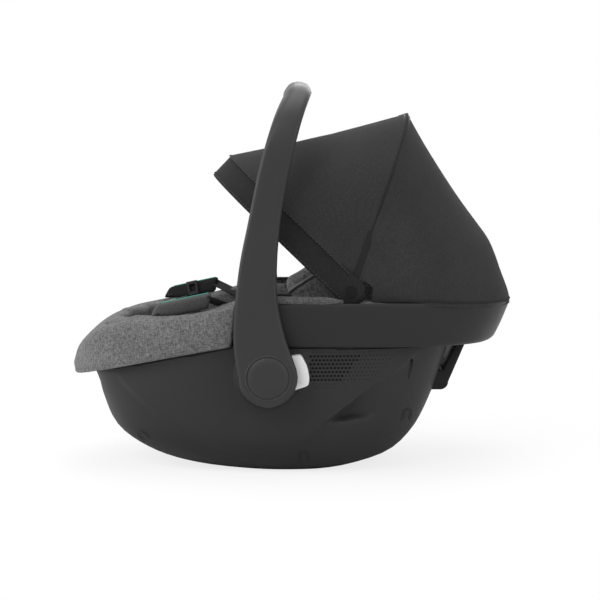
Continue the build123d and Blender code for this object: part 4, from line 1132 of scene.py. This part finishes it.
GRIP_CROWN = 8.0
BEND_Y, GRIP_END_Y = 114, 104
INNER_BEND, INNER_BEND_Z = 85, 467
OUTER_BEND, OUTER_BEND_Z = 105, 474
LEG_CORNER, GRIP_CORNER = 5.5, 10.0
FOOT_FALL, HEAD_FALL, FACE_BULGE = 13.0, 5.0, 0.9
stations = []
for z in PIVOT[1] - HUB_RADIUS * np.cos(np.linspace(0.12, math.pi / 2, 14)):
    stations.append(((HANDLE_INNER_Y, z), (HANDLE_OUTER_Y, z), 0.0))
for z in np.linspace(152, 466, 60):
    stations.append(((HANDLE_INNER_Y, z), (HANDLE_OUTER_Y, z), 0.0))
for turn in np.linspace(0, 90, 26):
    c, s = math.cos(math.radians(turn)), math.sin(math.radians(turn))
    stations.append((
        (BEND_Y + INNER_BEND * c, INNER_BEND_Z + INNER_BEND * s),
        (BEND_Y + OUTER_BEND * c, OUTER_BEND_Z + OUTER_BEND * s - GRIP_CROWN * s * s),
        turn / 90,
    ))
half = list(stations)
for y in np.linspace(GRIP_END_Y, -GRIP_END_Y, 22):
    stations.append(((y, GRIP_LOW_Z), (y, HANDLE_TOP_Z - GRIP_CROWN * (y / BEND_Y) ** 2), 1.0))
stations += [((-a[0], a[1]), (-b[0], b[1]), c) for a, b, c in reversed(half)]
handle_rows = []
for inner, outer, top_share in stations:
    inner, outer = np.array(inner), np.array(outer)
    middle_z = float((inner[1] + outer[1]) / 2)
    left, right = handle_span(middle_z)
    wide, deep = max(right - left, 6.0), float(np.linalg.norm(outer - inner))
    corner = min(LEG_CORNER + (GRIP_CORNER - LEG_CORNER) * top_share, wide * 0.3)
    outline = rounded(wide / 2, deep / 2, corner, 5, (0.2, 0.5, 0.8))
    row = []
    for px, pw in outline:
        w = pw / deep + 0.5
        u = px / wide
        yz = inner * (1 - w) + outer * w
        lean = (handle_span(float(yz[1]))[0] - left) if middle_z > 200 else 0.0
        fall = FOOT_FALL if u < 0 else HEAD_FALL
        z = yz[1] - top_share * w * fall * (2 * u) ** 2
        bulge = FACE_BULGE * (1 - (2 * u) ** 2) * (w - 0.5)
        direction = (outer - inner) / deep
        row.append((
            (left + right) / 2 + px + lean, yz[0] + direction[0] * bulge, z + direction[1] * bulge,
        ))
    handle_rows.append(row)
handle = loft("handle_bow", handle_rows, "handle", 50)
set_on(handle, "handle", "carry_handle")

CAP_PROFILE = (
    (24, 212), (33.4, 214), (33.6, 219.2), (32.9, 220.1), (31.6, 220.3), (30.6, 219.6), (30.3, 218.8),
    (29.6, 218.8), (29.3, 219.8), (28.3, 220.5), (20, 221.2), (8, 221.6), (0.6, 221.7),
)
for side, label in SIDES:
    cap = make("hub_cap_disc_" + label, lathe(CAP_PROFILE, PIVOT, side, 96), "handle", sharp=35)
    set_on(cap, "handle", "hub_cap_" + label)

# Release buttons beside the hubs
KEY_PROFILE = ((168, 0), (193.6, 0), (195.0, 0.4), (195.8, 1.3), (196, 2.6))
KEY_REACH = 26
for side, label in SIDES:
    rows = []
    for y, inset in KEY_PROFILE:
        drawn = button_outline + (button_core - button_outline) * inset / KEY_REACH
        rows.append([(PIVOT[0] + x, side * y, PIVOT[1] + z) for x, z in drawn])
    button = loft("release_key_" + label, rows, "button", 50)
    set_on(button, "release_" + label, "release_button_" + label)

# Canopy
LEG, ARC, TOP = 22, 22, 14


def arch(angle, shift, half_width, reach, start, corner):
    """Points along a bow, from the left side over the top to the right."""
    turn = math.radians(angle)
    out = np.array([math.cos(turn), 0.0, math.sin(turn)])
    normal = np.array([math.sin(turn), 0.0, -math.cos(turn)])
    flat = [(-half_width, h) for h in np.linspace(start, reach - corner, LEG, endpoint=False)]
    for a in np.linspace(180, 90, ARC, endpoint=False):
        flat.append((
            corner - half_width + corner * math.cos(math.radians(a)),
            reach - corner + corner * math.sin(math.radians(a)),
        ))
    flat += [(y, reach) for y in np.linspace(corner - half_width, 0, TOP // 2, endpoint=False)]
    flat = flat + [(0.0, reach)] + [(-y, h) for y, h in reversed(flat)]
    origin = HOOD_CENTRE + normal * shift
    return np.array([origin + out * h + np.array([0, y, 0]) for y, h in flat])


FRONT_ANGLE, REAR_ANGLE = 136, 71
FRONT_HALF, REAR_HALF = 178.9, 174.4
FRONT_REACH, REAR_REACH = 262.0, 272.0
BAND_HALF = 21.0
HEM_Z, HEM_RISE = 250.0, 7.0
BOW_CORNER = 125
FRONT_SAG, FRONT_WRINKLE, REAR_WRINKLE = 3.6, 1.1, 1.6
FRONT_FOLD = 50
FOLDED_BAND_ANGLE = FRONT_ANGLE - FRONT_FOLD
TUCK_HALF, TUCK_CLEAR, TUCK_FADE = 171.0, 23.0, 22.0
TUCK_REACH, TUCK_REACH_FADE, UNTUCKED_HALF = 60.0, 70.0, FRONT_HALF + 5


def tucked(rows):
    """Cloth drawn in beside the hubs, where the folded front band passes over it."""
    rows = np.array(rows)
    turn = math.radians(FOLDED_BAND_ANGLE)
    from_hub = rows - HOOD_CENTRE
    aside = from_hub[..., 0] * math.sin(turn) - from_hub[..., 2] * math.cos(turn)
    far = np.hypot(from_hub[..., 0], from_hub[..., 2])
    ease = np.minimum((aside - TUCK_CLEAR) / TUCK_FADE, (far - TUCK_REACH) / TUCK_REACH_FADE)
    limit = TUCK_HALF + np.clip(ease, 0, 1) * (UNTUCKED_HALF - TUCK_HALF)
    rows[..., 1] = np.clip(rows[..., 1], -limit, limit)
    return rows


front_edge = arch(FRONT_ANGLE, 17.0, FRONT_HALF, FRONT_REACH + 1.9, 20, BOW_CORNER)
rear_edge = tucked(arch(REAR_ANGLE, 0.0, REAR_HALF + 0.6, REAR_REACH + 1.0, 14, BOW_CORNER))
panel_rows = []
for t in np.linspace(0, 1, 26):
    row = front_edge * (1 - t) + rear_edge * t
    slack = math.sin(math.pi * t)
    inward = HOOD_CENTRE + np.array([0, 0, 60.0]) - row
    inward /= np.linalg.norm(inward, axis=1)[:, None]
    row = row + inward * (FRONT_SAG * slack)
    wrinkle = np.array([FRONT_WRINKLE * slack * ripple(p, 0.016, 11.0) for p in row])
    panel_rows.append(row + inward * wrinkle[:, None])
panel_rows = np.array(panel_rows)


CLOTH_THICKNESS = 1.4


def cloth_panel(name, rows, look):
    """A stretched sheet of the canopy."""
    obj = make(name, grid(rows), look, sharp=180, closed=False)
    extra = obj.modifiers.new("thick", "SOLIDIFY")
    extra.thickness = CLOTH_THICKNESS * MM
    extra.offset = 0.0
    applied(obj)
    dress(obj, look, 60)
    return obj


front_panel = cloth_panel("canopy_front_cloth", panel_rows, "canopy")
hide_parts("canopy_front_panel")


def fan_blend(obj):
    """Bakes a canopy panel's placement into its mesh."""
    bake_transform(obj)


fan_blend(front_panel)

REAR_SECTIONS = (
    (68, 261), (59, 236), (46.3, 218), (32, 214.5), (24.7, 218.3), (19, 224), (17, 225.8), (11.8, 229.3),
    (6.2, 233.8),
)
rear_stack = [rear_edge]
for angle, reach in REAR_SECTIONS:
    share = (REAR_ANGLE - angle) / REAR_ANGLE
    half = REAR_HALF + 0.6 + (FRONT_HALF - REAR_HALF) * share
    rear_stack.append(arch(angle, 0, half, reach, 14 + 20 * share, BOW_CORNER + 30 * share))
hem_row = arch(0, HOOD[1] - HEM_Z, FRONT_HALF, 249.5, 30, 165)
hem_row[:, 2] += HEM_RISE * np.clip((300 - hem_row[:, 0]) / 110, 0, 1)
rear_stack.append(hem_row)
rear_stack.append(hem_row - np.array([0, 0, 7.0]))
rear_stack = through(rear_stack, 5)
rear_rows = []
for k, row in enumerate(rear_stack):
    t = k / (len(rear_stack) - 1)
    middle = row.mean(0)
    inward = middle - row
    inward /= np.maximum(np.linalg.norm(inward, axis=1)[:, None], 1e-6)
    slack = math.sin(math.pi * t)
    wrinkle = np.array([REAR_WRINKLE * slack * ripple(p, 0.014, 17.0) for p in row])
    rear_rows.append(row + inward * wrinkle[:, None])
rear_rows = tucked(rear_rows)
rear_panel = cloth_panel("canopy_rear_cloth", rear_rows, "canopy")
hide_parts("canopy_rear_panel")
fan_blend(rear_panel)

# Front bow in its fabric sleeve
band_turn = math.radians(FRONT_ANGLE)
band_out = np.array([math.cos(band_turn), 0.0, math.sin(band_turn)])
band_normal = np.array([math.sin(band_turn), 0.0, -math.cos(band_turn)])
BAND_OUTER_Y, BAND_INNER_Y = 177.6, 172.4
BAND_THICKNESS = BAND_OUTER_Y - BAND_INNER_Y
BAND_START, BAND_PUFF = -20.5, 0.9
outer_arch = arch(FRONT_ANGLE, 0.0, BAND_OUTER_Y, FRONT_REACH + 0.6, BAND_START, BOW_CORNER)
inner_arch = arch(FRONT_ANGLE, 0.0, BAND_INNER_Y, FRONT_REACH - 4.4, BAND_START, BOW_CORNER - 3)
band_rows = []
for outer_point, inner_point in zip(outer_arch, inner_arch):
    height = float((outer_point - HOOD_CENTRE) @ band_out)
    half_wide = BAND_HALF if height > 0 else math.sqrt(max(BAND_HALF**2 - height**2, 9.0))
    loop = []
    for px, pw in rounded(half_wide, BAND_THICKNESS / 2, 2.2, 4):
        w = pw / BAND_THICKNESS + 0.5
        puff = BAND_PUFF * (1 - (px / half_wide) ** 2) * (1 if w > 0.5 else -0.4)
        direction = outer_point - inner_point
        length = np.linalg.norm(direction)
        loop.append(inner_point * (1 - w) + outer_point * w + band_normal * px + direction / length * puff)
    band_rows.append(loop)
band = loft("canopy_front_band", band_rows, "band", 70)
pad_on(band, "canopy_front", 0.2, "canopy_front_bow")


def bow_stitches(name, shift, half_width, reach, start):
    """Stitches along one edge of the front bow's sleeve."""
    line = arch(FRONT_ANGLE, shift, half_width, reach, start, BOW_CORNER)
    out = line - (HOOD_CENTRE + np.array([0, 0, 40.0]))
    out[:, 0] = 0.0
    set_on(stitches(name, line, out, "dark_stitch", lift=0.1), "canopy_front")


bow_stitches("band_stitches_front", -17.0, 178.4, FRONT_REACH + 1.4, 6)
bow_stitches("band_stitches_rear", 17.0, 180.0, FRONT_REACH + 3.0, 22)

# Piping over the rear bow
seam_line = tucked(arch(REAR_ANGLE, 0.0, REAR_HALF + 1.6, REAR_REACH + 1.6, 88, BOW_CORNER))
seam = make("canopy_seam_piping", tube(seam_line, 1.5, 8), "band", sharp=60)
set_on(seam, "canopy_rear")
hem = hem_row + np.sign(hem_row) * np.array([0, 0.4, 0])
set_on(make("canopy_hem_binding", tube(hem, 1.7, 8), "band", sharp=60), "shell")

# Cushions
WING_EDGE_Y = 124.6
CUSHIONS = (
    ("seat_cushion", "melange", "shell", 4.0, 1.5), ("back_cushion", "melange", "shell", 3.5, 1.5),
    # The headrest back takes the lighter melange: painted light.
    ("headrest_back", "headrest", "headrest", 3.5, 1.8),
)
for node, look, body, cap, shrink in CUSHIONS:
    pad_on(puffed(node, look, cap, shrink), body, 0.6, node)
# The headrest wings take the lighter melange: painted light against the canopy's shade.
wing = puffed("headrest_wing_left", "headrest", cap=4.0, shrink=2.0)
wing_right = mirrored(wing, "puffed_headrest_wing_right")
pad_on(wing, "headrest", 0.7, "headrest_wing_left")
pad_on(wing_right, "headrest", 0.7, "headrest_wing_right")
for side, label in SIDES:
    wing_edge = [(101, 168), (104, 175), (112, 178)]
    wing_edge += [(along, 178.5) for along in np.linspace(120, 262, 12)]
    edge_line = [back_point(along, lift, side * WING_EDGE_Y) for along, lift in wing_edge]
    piping = make("wing_piping_" + label, tube(line_through(edge_line, 60), 1.5, 8), "pad", sharp=60)
    set_on(piping, "headrest")

# Harness
PAD_LENGTH, PAD_HEIGHT = 92.0, 22.0
PAD_PLACE, PAD_RISE, PAD_LEAN = (-205, -152, 228), 12, 18
pad_frame = (
    Matrix.Translation(PAD_PLACE)
    @ Matrix.Rotation(math.radians(-PAD_RISE), 4, "Y")
    @ Matrix.Rotation(math.radians(PAD_LEAN), 4, "X")
)


def from_pad(point):
    """A place on the left chest pad, in the shared frame."""
    return np.array(pad_frame @ Vector(point))


pad_outline = np.array([
    (0.2, 7.2), (1.2, 10), (5, 15), (9.5, 20), (14, 22), (89, 22.2), (91.6, 21), (90, 16), (84, 2.4),
    (81, 0), (38, -0.2), (30, 0.8), (14, 4),
])
pad_ring = evenly(np.vstack([pad_outline, pad_outline[:1]]), 97)[:-1]
PAD_MARGIN = 14.0
PAD_PROFILE = ((5.4, 8.0), (5.1, 4.6), (4.6, 1.7), (3.5, 0.4), (1.8, 0.0))
pad_sections = [(-y, inset) for y, inset in PAD_PROFILE] + list(reversed(PAD_PROFILE))
pad_rows = []
for y, inset in pad_sections:
    row = []
    for x, z in pad_ring:
        core = np.array([np.clip(x, PAD_MARGIN, PAD_LENGTH - PAD_MARGIN), PAD_HEIGHT / 2])
        toward = core - np.array([x, z])
        far = max(np.linalg.norm(toward), 1e-6)
        x, z = np.array([x, z]) + toward / far * min(inset, far * 0.9)
        row.append(from_pad((x, y, z)))
    pad_rows.append(row)
chest_pad = loft("chest_pad_cloth_left", pad_rows, "pad", 60)
# Faces on each pad's inner side take the darker cloth, painted shade.
chest_pad.data.materials.append(MATERIALS["lining"])
to_pad = pad_frame.inverted()
for face in chest_pad.data.polygons:
    face.material_index = int((to_pad @ (face.center / MM)).y > 2.5)
trim_line = [from_pad((x, 3.2, PAD_HEIGHT - 0.1)) for x in np.linspace(18, 88, 40)]
trim = make("chest_pad_trim_left", tube(trim_line, 1.0, 8), "green", sharp=60)
slot_rows = [
    [from_pad((x, y, z)) for x, z in rounded(3.4, 1.4, 1.2, 4) + np.array([9.0, 9.0])]
    for y in (-5.5, -4.0, 4.0, 5.5)
]
slot_mark = loft("chest_pad_slot_left", slot_rows, "black", 40)
pad_seam = [from_pad((x, -5.0, 4.6)) for x in np.linspace(34, 80, 40)]
pad_out = from_pad((0, -1, 0)) - from_pad((0, 0, 0))
pad_stitch = stitches("chest_pad_stitches_left", pad_seam, [pad_out] * 40, "dark_stitch", lift=0.1)
for obj in (chest_pad, trim, slot_mark, pad_stitch):
    other = mirrored(obj, obj.name.replace("_left", "_right"))
    for item, label in ((obj, "left"), (other, "right")):
        if item.name.startswith("chest_pad_cloth"):
            pad_on(item, "shell", 0.5, "chest_pad_" + label)
        else:
            set_on(item, "shell")


STRAP_WIDTH, WEB_THICKNESS, STRAP_END_X, STRAP_STEPS = 18.0, 2.0, 87, 40
CROTCH_X, CROTCH_Z, CROTCH_WIDTH, CROTCH_STEPS = -128, (78.2, 106), 38, 12


def ribbon(name, line, sides, width):
    """Flat webbing along a line, with rounded edges."""
    rows = []
    tangent = np.gradient(np.asarray(line), axis=0)
    for p, t, s in zip(line, tangent, sides):
        t = t / np.linalg.norm(t)
        s = s - t * (s @ t)
        s = s / np.linalg.norm(s)
        n = np.cross(t, s)
        section = rounded(width / 2, WEB_THICKNESS / 2, WEB_THICKNESS * 0.45, 3)
        rows.append([p + s * px + n * pw for px, pw in section])
    return loft(name, rows, "webbing", 50)


pad_end = from_pad((STRAP_END_X, 0, PAD_HEIGHT - STRAP_WIDTH / 2))
slot_point = back_point(126, 40.3 + 19, -32)
run = slot_point - pad_end
length = np.linalg.norm(run)
strap_knots = [pad_end + run * share for share in (-0.03, 0.05, 0.35, 0.65, 0.94)]
strap_knots.append(back_point(136, 41.5, -30))
strap_line = line_through(strap_knots, STRAP_STEPS)
strap_edge = np.cross(run / length, np.array([0.0, 1.0, 1.9]))
strap = ribbon("shoulder_strap_web_left", strap_line, [strap_edge] * STRAP_STEPS, STRAP_WIDTH)
strap_right = mirrored(strap, "shoulder_strap_web_right")
for item, label in ((strap, "left"), (strap_right, "right")):
    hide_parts("shoulder_strap_" + label)
    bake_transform(item)

crotch_line = [np.array([CROTCH_X, 0, z]) for z in np.linspace(*CROTCH_Z, CROTCH_STEPS)]
crotch = ribbon("crotch_strap_web", crotch_line, [np.array([0, 1.0, 0])] * CROTCH_STEPS, CROTCH_WIDTH)
set_on(crotch, "shell", "crotch_strap")
crotch_low, crotch_high = (np.array(v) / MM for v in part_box("crotch_pad"))
crotch_rows = []
middle = (crotch_low + crotch_high) / 2
half_size = (crotch_high - crotch_low) / 2
for t in np.linspace(-1, 1, 22):
    end = math.sqrt(max(0.0, 1 - max(0.0, (abs(t) - 0.8) / 0.2) ** 2)) * 0.9 + 0.1
    crotch_rows.append([
        middle + np.array([px * (0.5 + 0.5 * end), py * (0.8 + 0.2 * end), t * half_size[2]])
        for px, py in rounded(half_size[0], half_size[1], half_size[0] * 0.9, 5)
    ])
crotch_pad = loft("crotch_pad_cloth", crotch_rows, "pad", 180)
smoother(crotch_pad, "pad")
pad_on(crotch_pad, "shell", 0.5, "crotch_pad")

# Rigid pieces with eased edges
EASED = [
    ("rear_belt_guide", 2.0, "black", "shell"), ("belt_guide_left", 1.0, "black", "shell"),
    ("belt_guide_right", 1.0, "black", "shell"), ("buckle_housing", 1.0, "black", "shell"),
    ("buckle_button", 1.2, "red", "buckle_key"), ("buckle_tongue_left", 0.8, "black", "shell"),
    ("buckle_tongue_right", 0.8, "black", "shell"), ("adjuster_housing", 1.0, "black", "shell"),
    ("adjuster_button", 1.2, "button", "adjuster_key"), ("canopy_bracket_left", 0.8, "black", "shell"),
    ("canopy_bracket_right", 0.8, "black", "shell"), ("headrest_pull", 1.0, "black", "headrest"),
    ("canopy_rear_bow", 0.6, "black", "canopy_rear"),
]
for node, radius, look, body in EASED:
    softened(node, radius, look, body)

# CAD nodes that stay as they are
STAYS = {
    "latch_bar_front": "steel", "latch_bar_rear": "steel", "handle_pivot_left": "steel",
    "handle_pivot_right": "steel", "pivot_washer_left": "steel", "pivot_washer_right": "steel",
    "canopy_pin_left": "dark", "canopy_pin_right": "dark", "lock_gear_left": "gear",
    "lock_gear_right": "gear", "grip_insert": "grip", "adjuster_strap": "webbing",
}
for node, look in STAYS.items():
    nodes[node].data.materials.clear()
    nodes[node].data.materials.append(MATERIALS[look])
